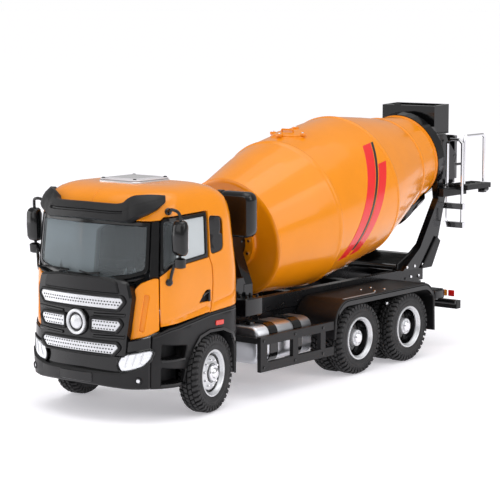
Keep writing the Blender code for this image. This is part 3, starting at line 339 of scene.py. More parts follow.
class Form:
    """A mesh in truck millimetres. Each call adds one closed shape in the finish in use."""

    def __init__(self, *finishes):
        self.mesh = bmesh.new()
        self.finishes = list(finishes)
        self.slot = 0

    def use(self, finish):
        if finish not in self.finishes:
            self.finishes.append(finish)
        self.slot = self.finishes.index(finish)
        return self

    def face(self, corners):
        if len(set(corners)) < 3:
            return
        distinct = [c for i, c in enumerate(corners) if c is not corners[i - 1]]
        if self.mesh.faces.get(distinct) is None:
            self.mesh.faces.new(distinct).material_index = self.slot

    def rings(self, rings, closed=False, caps=True):
        """Joins rings of points, each to the next. closed joins the last to the first instead of capping."""
        made = [[self.mesh.verts.new(at(*point)) for point in ring] for ring in rings]
        pairs = list(zip(made, made[1:])) + ([(made[-1], made[0])] if closed else [])
        for lower, upper in pairs:
            for i in range(len(lower)):
                j = (i + 1) % len(lower)
                self.face([lower[i], lower[j], upper[j], upper[i]])
        if caps and not closed:
            self.face(made[0])
            self.face(made[-1][::-1])
        return self

    def lathe(self, profile, place, along, steps=64):
        """Turns a closed loop of (radius, distance) pairs about an axis."""
        along = Vector(along).normalized()
        side = along.orthogonal().normalized()
        up = along.cross(side)
        place = Vector(place)
        rings = []
        for i in range(steps):
            turn = 2 * math.pi * i / steps
            out = side * math.cos(turn) + up * math.sin(turn)
            rings.append([place + along * d + out * r for r, d in profile])
        before = len(self.mesh.verts)
        self.rings(rings, closed=True)
        self.mesh.verts.ensure_lookup_table()
        fresh = [self.mesh.verts[i] for i in range(before, len(self.mesh.verts))]
        bmesh.ops.remove_doubles(self.mesh, verts=fresh, dist=0.002 * MM)
        return self

    def rod(self, start, end, radius, steps=24, edge=0.0):
        start, end = Vector(start), Vector(end)
        length = (end - start).length
        if edge:
            profile = [
                (0, 0), (radius - edge, 0), (radius, edge), (radius, length - edge), (radius - edge, length),
                (0, length)
            ]
        else:
            profile = [(0, 0), (radius, 0), (radius, length), (0, length)]
        return self.lathe(profile, start, end - start, steps)

    def wire(self, points, radius, sides=10, bend=1.0):
        """A round wire along points, with each corner rounded to a bend of that radius."""
        path = rounded([Vector(p) for p in points], bend)
        runs = [(b - a).normalized() for a, b in zip(path, path[1:])]
        side = runs[0].orthogonal().normalized()
        rings = []
        for i, point in enumerate(path):
            before, after = runs[max(i - 1, 0)], runs[min(i, len(runs) - 1)]
            along = (before + after).normalized()
            side = (side - along * side.dot(along)).normalized()
            up = along.cross(side)
            rings.append(
                [
                    point + (
                        side * math.cos(2 * math.pi * k / sides) + up * math.sin(2 * math.pi * k / sides)
                    ) * radius
                    for k in range(sides)
                ]
            )
        return self.rings(rings)

    def prism(self, outline, low, high, axis="X", edge=0.0):
        """An outline made thick along an axis, its rims chamfered by edge.

        Outline points are (y, z) for X, (x, z) for Y and (x, y) for Z.
        """
        def spot(point, depth):
            a, b = point
            return {"X": (depth, a, b), "Y": (a, depth, b), "Z": (a, b, depth)}[axis]

        if not edge:
            return self.rings([[spot(p, d) for p in outline] for d in (low, high)])
        inner = inset(outline, edge)
        levels = ((inner, low), (outline, low + edge), (outline, high - edge), (inner, high))
        return self.rings([[spot(p, d) for p in loop] for loop, d in levels])

    def block(self, low, high, edge=0.3, axis="X", round_by=0.0):
        """A box between two corners with softened edges, and its outline rounded across axis."""
        pick = {"X": (1, 2, 0), "Y": (0, 2, 1), "Z": (0, 1, 2)}[axis]
        (a0, b0, d0), (a1, b1, d1) = ([p[i] for i in pick] for p in (low, high))
        a0, a1 = sorted((a0, a1))
        b0, b1 = sorted((b0, b1))
        d0, d1 = sorted((d0, d1))
        edge = min(edge, (a1 - a0) / 2.5, (b1 - b0) / 2.5, (d1 - d0) / 2.5)
        outline = box_outline(a0, b0, a1, b1, max(round_by, edge))
        return self.prism(outline, d0, d1, axis, edge)

    def done(self, name, body, slot, *replaced, angle=35.0):
        """The finished piece, riding on a body."""
        bmesh.ops.recalc_face_normals(self.mesh, faces=self.mesh.faces)
        mesh = bpy.data.meshes.new(name)
        self.mesh.to_mesh(mesh)
        self.mesh.free()
        for finish in self.finishes:
            mesh.materials.append(FINISHES[finish])
        mesh.shade_smooth()
        mesh.set_sharp_from_angle(angle=math.radians(angle))
        piece = bpy.data.objects.new(name, mesh)
        bpy.context.scene.collection.objects.link(piece)
        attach(piece, body)
        if replaced:
            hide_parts(*replaced)
        return piece


def rounded(path, bend, steps=5):
    """A path with its inner corners replaced by short arcs."""
    made = [path[0]]
    for before, corner, after in zip(path, path[1:], path[2:]):
        reach = min(bend, (before - corner).length * 0.45, (after - corner).length * 0.45)
        start = corner + (before - corner).normalized() * reach
        end = corner + (after - corner).normalized() * reach
        for i in range(steps + 1):
            share = i / steps
            made.append(start * (1 - share) ** 2 + corner * 2 * share * (1 - share) + end * share**2)
    return made + [path[-1]]


def box_outline(a0, b0, a1, b1, radius=0.0, steps=3):
    """A rectangle's outline with rounded corners."""
    if radius <= 0:
        return [(a0, b0), (a1, b0), (a1, b1), (a0, b1)]
    made = []
    centres = (
        (a0 + radius, b0 + radius, 180), (a1 - radius, b0 + radius, 270), (a1 - radius, b1 - radius, 0),
        (a0 + radius, b1 - radius, 90)
    )
    for a, b, start in centres:
        for i in range(steps + 1):
            turn = math.radians(start + 90 * i / steps)
            made.append((a + radius * math.cos(turn), b + radius * math.sin(turn)))
    return made


def smooth_outline(corners, radius, steps=4):
    """An outline with each of its corners rounded."""
    points = [Vector(c) for c in corners]
    made = []
    for i, corner in enumerate(points):
        before, after = points[i - 1], points[(i + 1) % len(points)]
        reach = min(radius, (before - corner).length * 0.45, (after - corner).length * 0.45)
        start = corner + (before - corner).normalized() * reach
        end = corner + (after - corner).normalized() * reach
        for k in range(steps + 1):
            share = k / steps
            spot = start * (1 - share) ** 2 + corner * 2 * share * (1 - share) + end * share**2
            made.append((spot.x, spot.y))
    return made


def area(outline):
    return 0.5 * sum(a[0] * b[1] - b[0] * a[1] for a, b in zip(outline, outline[1:] + outline[:1]))


def inset(outline, by):
    """The outline moved inwards by a distance, or outwards where it is negative."""
    points = [Vector(p) for p in outline]
    turn = 1 if area(outline) > 0 else -1
    made = []
    for i, point in enumerate(points):
        before, after = points[i - 1], points[(i + 1) % len(points)]
        a = (point - before).normalized()
        b = (after - point).normalized()
        inward = Vector((-(a.y + b.y), a.x + b.x)) * turn
        if inward.length < 1e-6:
            inward = Vector((-a.y, a.x)) * turn
        inward.normalize()
        cosine = max(abs(inward.dot(Vector((-a.y, a.x)))), 0.35)
        made.append(tuple(point + inward * by / cosine))
    return made


FINISHES = {}


# ------------------------------------------------------------------ values to change


class MixerColours(bpy.types.PropertyGroup):
    """Colours of the truck's main finishes"""

    paint: bpy.props.FloatVectorProperty(
        name="Paint", description="Colour of the cab and the drum", default=(0.81, 0.255, 0.002),
        subtype="COLOR", min=0.0, max=1.0
    )
    plastic: bpy.props.FloatVectorProperty(
        name="Plastic", description="Colour of the satin plastic", default=(0.008, 0.0078, 0.0085),
        subtype="COLOR", min=0.0, max=1.0
    )
    print: bpy.props.FloatVectorProperty(
        name="Print", description="Colour of the drum's printed bands", default=(0.75, 0.012, 0.012),
        subtype="COLOR", min=0.0, max=1.0
    )


class MixerSizes(bpy.types.PropertyGroup):
    """Sizes of the small detail"""

    seam: bpy.props.FloatProperty(
        name="Panel gap", description="Gap between the cab's panels", default=0.32 * MM, min=0.1 * MM,
        max=1.0 * MM, unit="LENGTH"
    )
    bead: bpy.props.FloatProperty(
        name="Drum bead", description="Height of the beads round the drum", default=0.3 * MM, min=0.0,
        max=1.0 * MM, unit="LENGTH"
    )
    lug: bpy.props.FloatProperty(
        name="Tread depth", description="Depth of the tyre tread", default=0.75 * MM, min=0.1 * MM,
        max=1.5 * MM, unit="LENGTH"
    )


class MixerStudio(bpy.types.PropertyGroup):
    """Floor, lights and camera"""

    floor_size: bpy.props.FloatProperty(
        name="Floor", description="Width of the floor", default=60.0, min=1.0, max=200.0, unit="LENGTH"
    )
    air_colour: bpy.props.FloatVectorProperty(
        name="Air", description="Colour of the light from all round", default=(1.0, 1.0, 1.0),
        subtype="COLOR", min=0.0, max=1.0
    )
    air_strength: bpy.props.FloatProperty(
        name="Air strength", description="Strength of that light", default=0.42, min=0.0, max=4.0
    )
    sky: bpy.props.FloatProperty(
        name="Sky", description="Strength of the broad light overhead", default=1.25, min=0.0, max=20.0
    )
    overhead: bpy.props.FloatProperty(
        name="Overhead", description="Power of the softbox overhead", default=0.75, min=0.0, max=50.0,
        subtype="POWER"
    )
    side: bpy.props.FloatProperty(
        name="Side", description="Power of the softbox at the truck's left", default=0.9, min=0.0, max=50.0,
        subtype="POWER"
    )
    right: bpy.props.FloatProperty(
        name="Right", description="Power of the softbox that the windscreen mirrors", default=0.8, min=0.0,
        max=50.0, subtype="POWER"
    )
    floor_glow: bpy.props.FloatProperty(
        name="Floor glow", description="How far the floor is lit from below", default=0.37, min=0.0, max=2.0
    )
    front: bpy.props.FloatProperty(
        name="Front", description="Power of the softbox in front", default=0.6, min=0.0, max=50.0,
        subtype="POWER"
    )
    camera_place: bpy.props.FloatVectorProperty(
        name="Camera", description="Place of the camera", default=(0.33771, FRONT_Y - 0.35669, 0.10765),
        subtype="TRANSLATION", unit="LENGTH"
    )
    camera_aim: bpy.props.FloatVectorProperty(
        name="Aim", description="Direction the camera looks in", default=(-0.61107, 0.78121, -0.12767),
        subtype="DIRECTION"
    )
    lens: bpy.props.FloatProperty(
        name="Lens", description="Focal length in millimetres", default=136.6, min=20.0, max=400.0
    )


class MIXER_OT_finishes(bpy.types.Operator):
    """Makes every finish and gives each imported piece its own"""

    bl_idname = "mixer.finishes"
    bl_label = "Finishes"

    def execute(self, context):
        FINISHES.update(make_finishes(context.scene.mixer_colours))
        slots = {
            "paint", "plastic", "gloss_black", "chassis", "cabin", "glass", "lamp", "hatch", "plated", "tank",
            "chrome", "steel", "rubber"
        }
        for node in frame["nodes"].values():
            for slot in node.material_slots:
                kind = slot.material.name.split(".")[0] if slot.material else "chassis"
                slot.link = "OBJECT"
                slot.material = FINISHES[kind if kind in slots else "chassis"]
        return {"FINISHED"}


# ------------------------------------------------------------------ cab surface

# Stations up the cab: distance along the surface, height, half width, front, rear, corner radius.
STATIONS = np.array(
    [
        (8.0, 8.0, 23.4, 3.7, 42.8, 10.0),
        (16.0, 16.0, 23.8, 3.4, 42.8, 10.0),
        (24.4, 24.4, 24.0, 4.0, 42.8, 10.0),
        (36.8, 36.8, 24.0, 4.5, 42.8, 10.0),
        (53.0, 53.0, 22.8, 6.5, 41.6, 8.4),
        (57.0, 57.0, 22.0, 7.5, 40.6, 8.4),
        (60.1, 59.4, 20.0, 10.1, 38.5, 7.4),
        (63.9, 60.6, 17.0, 13.7, 35.2, 6.0),
        (66.9, 61.0, 14.0, 16.3, 32.6, 4.0),
        (80.0, 61.0, 0.8, 22.0, 28.0, 0.3),
    ]
)
# Stations round the cab: its front's middle, two corners' starts and ends, its rear's middle.
ROUND = (0.0, 14.0, 30.0, 50.0, 61.0, 81.0)
REAR_CORNER = 7.0
BLEND = 1.5  # how far the stations up the cab are blended into each other


def cab_section(v):
    """Height, half width, front, rear and corner radius at station v."""
    spread = [
        np.array([np.interp(v + d * BLEND, STATIONS[:, 0], STATIONS[:, k]) for k in range(1, 6)])
        for d in (-1, -0.5, 0, 0.5, 1)
    ]
    return sum(spread) / len(spread)


def cab_point(u, v):
    """A point of the cab's outside: u runs round it from the middle of its front, v up it."""
    z, half, front, rear, radius = cab_section(v)
    flat = half - radius
    corner = min(REAR_CORNER, half * 0.6, (rear - front) * 0.3)
    side, u = (-1 if u < 0 else 1), min(abs(u), ROUND[5])
    if u <= ROUND[1]:
        share = u / ROUND[1]
        x, y = flat * share, front + 1.5 * share**2
    elif u <= ROUND[2]:
        turn = math.radians(90 * (u - ROUND[1]) / (ROUND[2] - ROUND[1]))
        x, y = flat + radius * math.sin(turn), front + 1.5 + radius * (1 - math.cos(turn))
    elif u <= ROUND[3]:
        share = (u - ROUND[2]) / (ROUND[3] - ROUND[2])
        start = front + 1.5 + radius
        x, y = half, start + (rear - corner - start) * share
    elif u <= ROUND[4]:
        turn = math.radians(90 * (u - ROUND[3]) / (ROUND[4] - ROUND[3]))
        x, y = half - corner + corner * math.cos(turn), rear - corner + corner * math.sin(turn)
    else:
        x, y = (half - corner) * (ROUND[5] - u) / (ROUND[5] - ROUND[4]), rear
    return Vector((side * x, y, z + LEVEL))


def cab_out(u, v):
    """The way out of the cab's surface at a point."""
    step = 0.4
    along = cab_point(u + step, v) - cab_point(u - step, v)
    up = cab_point(u, v + step) - cab_point(u, v - step)
    out = along.cross(up)
    if out.length < 1e-9:
        return Vector((0, 0, 1))
    return out.normalized()


def cab_at(u, v, depth=0.0):
    """A point that lies depth under the cab's surface."""
    return cab_point(u, v) - cab_out(u, v) * depth


def beside(v, y):
    """The station round the cab at a distance back from the bumper, on its left side."""
    steps = np.linspace(0.0, ROUND[4], 123)
    return float(np.interp(y, [cab_point(u, v).y for u in steps], steps))


def divided(outline, spacing):
    made = []
    for start, end in zip(outline, outline[1:] + outline[:1]):
        count = max(1, math.ceil(math.dist(start, end) / spacing))
        made += [
            (start[0] + (end[0] - start[0]) * i / count, start[1] + (end[1] - start[1]) * i / count)
            for i in range(count)
        ]
    return made


def inside(point, outline):
    a, b = point
    found = False
    for (a0, b0), (a1, b1) in zip(outline, outline[1:] + outline[:1]):
        if (b0 > b) != (b1 > b) and a < (a1 - a0) * (b - b0) / (b1 - b0) + a0:
            found = not found
    return found


def tiled(outline, holes, spacing, extra=()):
    """Triangles that fill an outline round its holes: points, triangles, and each loop's point numbers."""
    loops = [divided(loop, spacing) for loop in (outline, *holes)]
    points, edges, numbers = [], [], []
    for loop in loops:
        first = len(points)
        numbers.append(list(range(first, first + len(loop))))
        points += loop
        edges += [(a, b) for a, b in zip(numbers[-1], numbers[-1][1:] + numbers[-1][:1])]
    rim = np.array(points)
    low, high = rim.min(axis=0), rim.max(axis=0)
    grid = [p for p in extra]
    rows = int((high[1] - low[1]) / spacing) + 1
    columns = int((high[0] - low[0]) / spacing) + 1
    grid += [
        (
            low[0] + (i + 0.5 * (j % 2)) * spacing, low[1] + (j + 0.5) * spacing
        ) for j in range(rows) for i in range(columns)
    ]
    kept = []
    for spot in grid:
        near = np.min(np.hypot(rim[:, 0] - spot[0], rim[:, 1] - spot[1]))
        if near > 0.45 * spacing and sum(inside(spot, loop) for loop in loops[:1]) and not any(
            inside(spot, loop) for loop in loops[1:]
        ):
            kept.append(spot)
    every = [Vector(p) for p in points + kept]
    verts, _, faces, origins, _, _ = delaunay_2d_cdt(every, edges, [], 0, 1e-5)
    renamed = {}
    for new, olds in enumerate(origins):
        for old in olds:
            renamed[old] = new
    triangles = []
    for face in faces:
        middle = sum((verts[i] for i in face), Vector((0, 0))) / len(face)
        if inside(middle, loops[0]) and not any(inside(middle, loop) for loop in loops[1:]):
            triangles.append(face)
    return [tuple(v) for v in verts], triangles, [[renamed[i] for i in loop] for loop in numbers]


def add_panel(
    form, place, outline, holes=(), thickness=1.0, edge=0.14, spacing=1.1, finish=None, back=None, extra=()
):
    """A sheet with rounded rims laid on a surface: place(a, b, depth) is a point that far under it."""
    outline, holes = list(outline), [list(h) for h in holes]
    if area(outline) < 0:
        outline.reverse()
    inner = inset(divided(outline, spacing), edge)
    inner_holes = [inset(divided(h, spacing), -edge) for h in holes]
    outer_loops = [divided(outline, spacing), *[divided(h, spacing) for h in holes]]
    points, triangles, loops = tiled_exact(inner, inner_holes, spacing, extra)
    if finish:
        form.use(finish)
    front_slot = form.slot
    new = form.mesh.verts.new
    front = [new(at(*place(a, b, 0.0))) for a, b in points]
    rear = [new(at(*place(a, b, thickness))) for a, b in points]
    for a, b, c in triangles:
        form.face([front[a], front[b], front[c]])
    for loop, rim in zip(loops, outer_loops):
        upper = [new(at(*place(a, b, edge))) for a, b in rim]
        lower = [new(at(*place(a, b, thickness - edge * 0.5))) for a, b in rim]
        count = len(loop)
        for i in range(count):
            j = (i + 1) % count
            form.face([front[loop[i]], front[loop[j]], upper[j], upper[i]])
            form.face([upper[i], upper[j], lower[j], lower[i]])
            form.face([lower[i], lower[j], rear[loop[j]], rear[loop[i]]])
    if back:
        form.use(back)
    for a, b, c in triangles:
        form.face([rear[c], rear[b], rear[a]])
    form.slot = front_slot
    return form


def tiled_exact(outline, holes, spacing, extra):
    """As tiled, for loops that are divided already."""
    return tiled(outline, holes, spacing * 1.6, extra)


def ribbon(form, place, points, width, height, base=0.1):
    """A low raised strip that follows points on a surface."""
    rings = []
    count = len(points)
    for i, (a, b) in enumerate(points):
        before, after = points[max(i - 1, 0)], points[min(i + 1, count - 1)]
        run = Vector((after[0] - before[0], after[1] - before[1])).normalized()
        across = Vector((-run.y, run.x)) * width / 2
        rings.append(
            [
                place(a - across.x, b - across.y, base),
                place(a - across.x * 0.7, b - across.y * 0.7, -height),
                place(a + across.x * 0.7, b + across.y * 0.7, -height),
                place(a + across.x, b + across.y, base),
            ]
        )
    return form.rings(rings)


def mirrored(place, side):
    return lambda u, v, depth=0.0: place(side * u, v, depth)


# Seams, as stations (round, up): the door's front and rear edge lean with the cab.
DOOR_FRONT = [(23.5, 25.4), (23.2, 31.0), (23.0, 38.2)]
DOOR_REAR = [
    (beside(z, y), z) for y, z in ((27.3, 27.4), (28.0, 29.6), (28.4, 35.0), (28.3, 39.7), (27.4, 41.9))
]
WINDOW_LOW = [(23.0, 38.4), (26.4, 40.6), (beside(42.0, 27.0), 41.9)]
FRAME_TOP = [(beside(53.9, 27.4), 53.9), (24.2, 53.4), (23.0, 52.6)]
CREASE = ((23.6, 26.2), (beside(31.1, 37.8), 31.1))
SKIRT_TOP = [
    (13.9, 21.3), (20.7, 23.0), (26.1, 24.8), (beside(27.1, 27.2), 27.1), (beside(27.9, 38.3), 27.9),
    (ROUND[4], 28.2)
]


def crease_depth(u, v):
    """The shallow styling line low on the cab's side."""
    (u0, v0), (u1, v1) = CREASE
    height = v0 + (v1 - v0) * (abs(u) - u0) / (u1 - u0)
    if not u0 - 0.5 < abs(u) < u1 + 4:
        return 0.0
    return 0.3 * math.exp(-(((v - height) / 0.42) ** 2))


def creased(side):
    return lambda u, v, depth=0.0: cab_at(side * u, v, depth + crease_depth(u, v))


def crease_points():
    (u0, v0), (u1, v1) = CREASE
    return [
        (u0 + (u1 - u0) * i / 34, v0 + (v1 - v0) * i / 34 + lift) for i in range(36) for lift in (
            -0.9, -0.4, 0.0, 0.4, 0.9
        )
    ]


class MIXER_OT_cab(bpy.types.Operator):
    """Makes the cab's painted body with its black pillars, window trim and roof light"""

    bl_idname = "mixer.cab"
    bl_label = "Cab body"

    def execute(self, context):
        seam = context.scene.mixer_sizes.seam / MM
        body = Form("paint", "cabin")
        left = [
            (0.0, 52.7),
            (20.0, 52.7),
            (23.0, 52.9),
            (24.0, 53.7),
            (beside(54.2, 27.3), 54.2),
            (beside(54.2, 28.0), 54.0),
            *[(u + seam, v) for u, v in DOOR_REAR[::-1]],
            *[(u, v + 0.1) for u, v in SKIRT_TOP[3:]],
            (ROUND[5], 28.3),
            (ROUND[5], 80.0),
            (0.0, 80.0),
        ]
        quarter = smooth_outline(
            [(beside(z, y), z) for y, z in ((28.2, 42.4), (33.6, 43.2), (33.9, 52.2), (28.2, 52.9))], 1.6
        )
        corner = [
            (23.5 - seam, 24.5),
            (23.0 - seam, 38.0),
            (21.3, 38.0),
            (17.9, 36.8),
            (16.3, 35.3),
            (15.1, 32.3),
            (14.2, 24.4),
            (13.9, 21.5),
            (19.7, 22.9),
        ]
        slot = smooth_outline([(19.0, 33.8), (20.3, 33.6), (18.9, 24.0), (17.6, 24.3)], 0.5)
        for side in (1, -1):
            place = creased(side)
            add_panel(body, place, left, [quarter], 1.1, 0.12, 1.2, "paint", "cabin", crease_points())
            add_panel(body, place, smooth_outline(corner, 0.5), [slot], 1.0, 0.22, 1.1, "paint", "cabin")
            sunk = sunk_by(place, 0.55)
            add_panel(body, sunk, inset(slot, -0.2), (), 0.4, 0.1, 1.0, "paint")
        body.done("cab_body", "root", "paint", "cab_shell", angle=42)

        trim = Form("gloss_black")
        for side in (1, -1):
            place = mirrored(cab_at, side)
            near = sunk_by(place, 0.2)
            add_panel(trim, near, inset(quarter, 0.06), (), 0.8, 0.14, 1.2, "gloss_black")
            pillar = [
                (20.1, 37.9), (21.3, 38.3), (23.0 - seam, 38.3), (23.0 - seam, 52.3), (22.6, 52.8),
                (20.1, 52.6)
            ]
            add_panel(trim, place, smooth_outline(pillar, 0.3), (), 1.1, 0.16, 1.2, "gloss_black")
        trim.done("window_pillars", "root", "gloss_black", angle=42)

        roof = Form("hatch", "gloss_black")
        low, high = extent("roof_hatch")
        outline = box_outline(-7.0, low.y + 0.2, 7.0, high.y - 0.2, 1.8, 6)
        roof.use("silver").prism(inset(outline, -0.25), low.z - 0.6, low.z + 0.15, "Z", 0.15)
        roof.use("hatch").prism(outline, low.z + 0.15, high.z - 0.25, "Z", 0.3)
        roof.prism(inset(outline, 1.5), high.z - 0.4, high.z - 0.05, "Z", 0.2)
        for x in (-5.6, 5.6):
            for y in (low.y + 1.1, high.y - 1.1):
                roof.use("gloss_black").block(
                    (x - 0.45, y - 0.35, low.z + 0.2), (x + 0.45, y + 0.35, high.z), 0.15, "Z"
                )
        roof.done("roof_light", "root", "hatch", "roof_hatch", angle=40)
        return {"FINISHED"}


class MIXER_OT_doors(bpy.types.Operator):
    """Makes the two doors with their window frames and pull handles"""

    bl_idname = "mixer.doors"
    bl_label = "Doors"

    def execute(self, context):
        for name, side in SIDES:
            door = Form("paint", "cabin")
            place = creased(side)
            frame_outline = WINDOW_LOW + FRAME_TOP
            window = inset(smooth_outline(frame_outline, 0.8), 1.05)
            handle = smooth_outline(
                [(beside(z, y), z) for y, z in ((22.8, 30.2), (27.3, 30.3), (27.3, 33.3), (25.6, 33.3))], 0.5
            )
            lower = DOOR_FRONT + [(u, v - 0.04) for u, v in WINDOW_LOW] + DOOR_REAR[::-1]
            add_panel(door, place, lower, [handle], 1.0, 0.14, 1.1, "paint", "cabin", crease_points())
            add_panel(door, place, frame_outline, [window], 1.0, 0.2, 0.9, "gloss_black", "gloss_black")
            # The handle's recess is lined in near-black: painted shade.
            cup = sunk_by(place, 0.7)
            add_panel(door, cup, inset(handle, -0.3), (), 0.5, 0.1, 1.0, "shade_and_seat_black")
            bar = [place(beside(z, 26.9), z, -0.05) for z in (30.3, 31.3, 32.3, 33.3)]
            door.use("gloss_black").wire(bar, 0.34, 8)
            grip = [place(beside(z, y), z, -0.12) for y, z in ((24.2, 31.9), (25.4, 32.6), (26.8, 32.9))]
            door.use("gloss_black").wire(grip, 0.22, 8)
            door.done(f"door_panel_{name}", f"door_{name}", "paint", f"door_{name}", angle=42)
        return {"FINISHED"}


# ------------------------------------------------------------------ front of the cab


def nose(x, z, depth=0.0):
    """A point of the grille's face, which is bowed and leans back a little."""
    return Vector((x, 2.0 + 1.3 * (x / 14.0) ** 2 + 0.042 * (z - 26.0) + depth, z + LEVEL))


def ahead_of(lead):
    """The cab's surface brought forward by lead at its middle, and less towards its corners."""
    return lambda u, v, depth=0.0: cab_at(u, v, depth - lead * max(0.0, 1.0 - (abs(u) / 25.0) ** 2.4))


def sunk_by(place, by):
    return lambda a, b, depth=0.0: place(a, b, depth + by)


def strip_outline(half, tip, low, high, start=None):
    """A grille strip from one pointed end to the other, or from start to its right end."""
    middle = low + (high - low) * 0.68
    right = [(half - 0.2, low), (tip, middle), (tip - 0.7, high), (half - 1.2, high)]
    if start is None:
        return [(-x, z) for x, z in right[::-1]] + right
    return [(start, low), *right[:3], (start, high)]


STRIPS = (
    ("top", strip_outline(13.0, 14.6, 29.9, 32.9)),
    ("middle", strip_outline(12.6, 14.0, 24.1, 26.9, 4.9)),
    ("bottom", strip_outline(11.8, 13.4, 18.1, 20.8)),
)


def hole_shade_marks(form, outline, place, size=0.21, pitch=0.92):
    """Near-black hexagons in staggered rows inside an outline: painted shade standing in for holes."""
    low_a, low_b = (min(p[k] for p in outline) for k in (0, 1))
    high_a, high_b = (max(p[k] for p in outline) for k in (0, 1))
    rows = max(1, int((high_b - low_b) / (pitch * 0.8)))
    for j in range(rows):
        b = low_b + (j + 0.5) * (high_b - low_b) / rows
        a = low_a + (0.5 + 0.5 * (j % 2)) * pitch
        while a < high_a:
            if inside((a, b), inset(outline, 0.38)):
                ring = [
                    (a + size * 1.25 * math.cos(k * math.pi / 3), b + size * math.sin(k * math.pi / 3))
                    for k in range(6)
                ]
                form.rings([[place(p, q, d) for p, q in ring] for d in (0.1, -0.035)])
            a += pitch


class MIXER_OT_grille(bpy.types.Operator):
    """Makes the black mask, the grille strips with painted shade for their holes, and the plain ring badge"""

    bl_idname = "mixer.grille"
    bl_label = "Grille"

    def execute(self, context):
        mask = Form("gloss_black", "plastic")
        face = [
            (-14.9, 17.4), (14.9, 17.4), (15.2, 22.0), (16.6, 33.0), (15.6, 37.0), (9.0, 38.0), (-9.0, 38.0),
            (-15.6, 37.0), (-16.6, 33.0), (-15.2, 22.0)
        ]
        add_panel(mask, nose, smooth_outline(face, 0.8), (), 3.2, 0.5, 1.6, "gloss_black")
        hood = smooth_outline(
            [(-13.3, 33.9), (13.3, 33.9), (12.3, 37.2), (7.0, 37.9), (-7.0, 37.9), (-12.3, 37.2)], 0.7
        )
        add_panel(mask, sunk_by(nose, -0.45), hood, (), 0.6, 0.3, 1.6, "plastic")
        parts = [(strip, 1) for _, strip in STRIPS] + [([(-x, z) for x, z in STRIPS[1][1]][::-1], -1)]
        for strip, _ in parts:
            hole = smooth_outline(strip, 0.35)
            rim = inset(hole, -0.75)
            add_panel(mask, sunk_by(nose, -0.75), rim, [inset(hole, -0.06)], 0.9, 0.28, 1.1, "plastic")
        for z in (22.5, 28.2):
            for side in (1, -1):
                blade = [
                    (side * 15.0, z - 0.2), (side * 15.2, z + 0.7), (side * 5.4, z + 0.35),
                    (side * 5.2, z - 0.45)
                ]
                add_panel(mask, sunk_by(nose, -0.35), blade, (), 0.5, 0.2, 1.4, "gloss_black")
        mask.done("grille_mask", "root", "plastic", "grille_panel")

        strips = Form("silver", "shade_and_seat_black")
        for strip, _ in parts:
            hole = smooth_outline(strip, 0.35)
            add_panel(strips, sunk_by(nose, -0.35), hole, (), 0.5, 0.14, 1.2, "silver")
            # Near-black hexagons on the strips: painted shade where holes would be.
            strips.use("shade_and_seat_black")
            hole_shade_marks(strips, hole, sunk_by(nose, -0.35))
        strips.done("grille_strips", "root", "plated", "grille_insert")

        badge = Form("chrome", "gloss_black")
        front = nose(0.0, 25.7, -1.05)
        back = Vector((0, 1, 0))
        badge.use("gloss_black").lathe(
            [(0, 0.3), (3.5, 0.3), (3.7, 0.55), (3.7, 1.3), (0, 1.3)], front, back, 64
        )
        badge.use("silver").lathe(
            [(2.5, 0.35), (2.65, 0.0), (3.0, -0.12), (3.3, 0.0), (3.42, 0.4)], front, back, 72
        )
        badge.lathe([(0, -0.35), (0.9, -0.28), (1.7, 0.0), (1.95, 0.35), (0, 0.35)], front, back, 48)
        badge.done("ring_badge", "root", "plated")
        return {"FINISHED"}


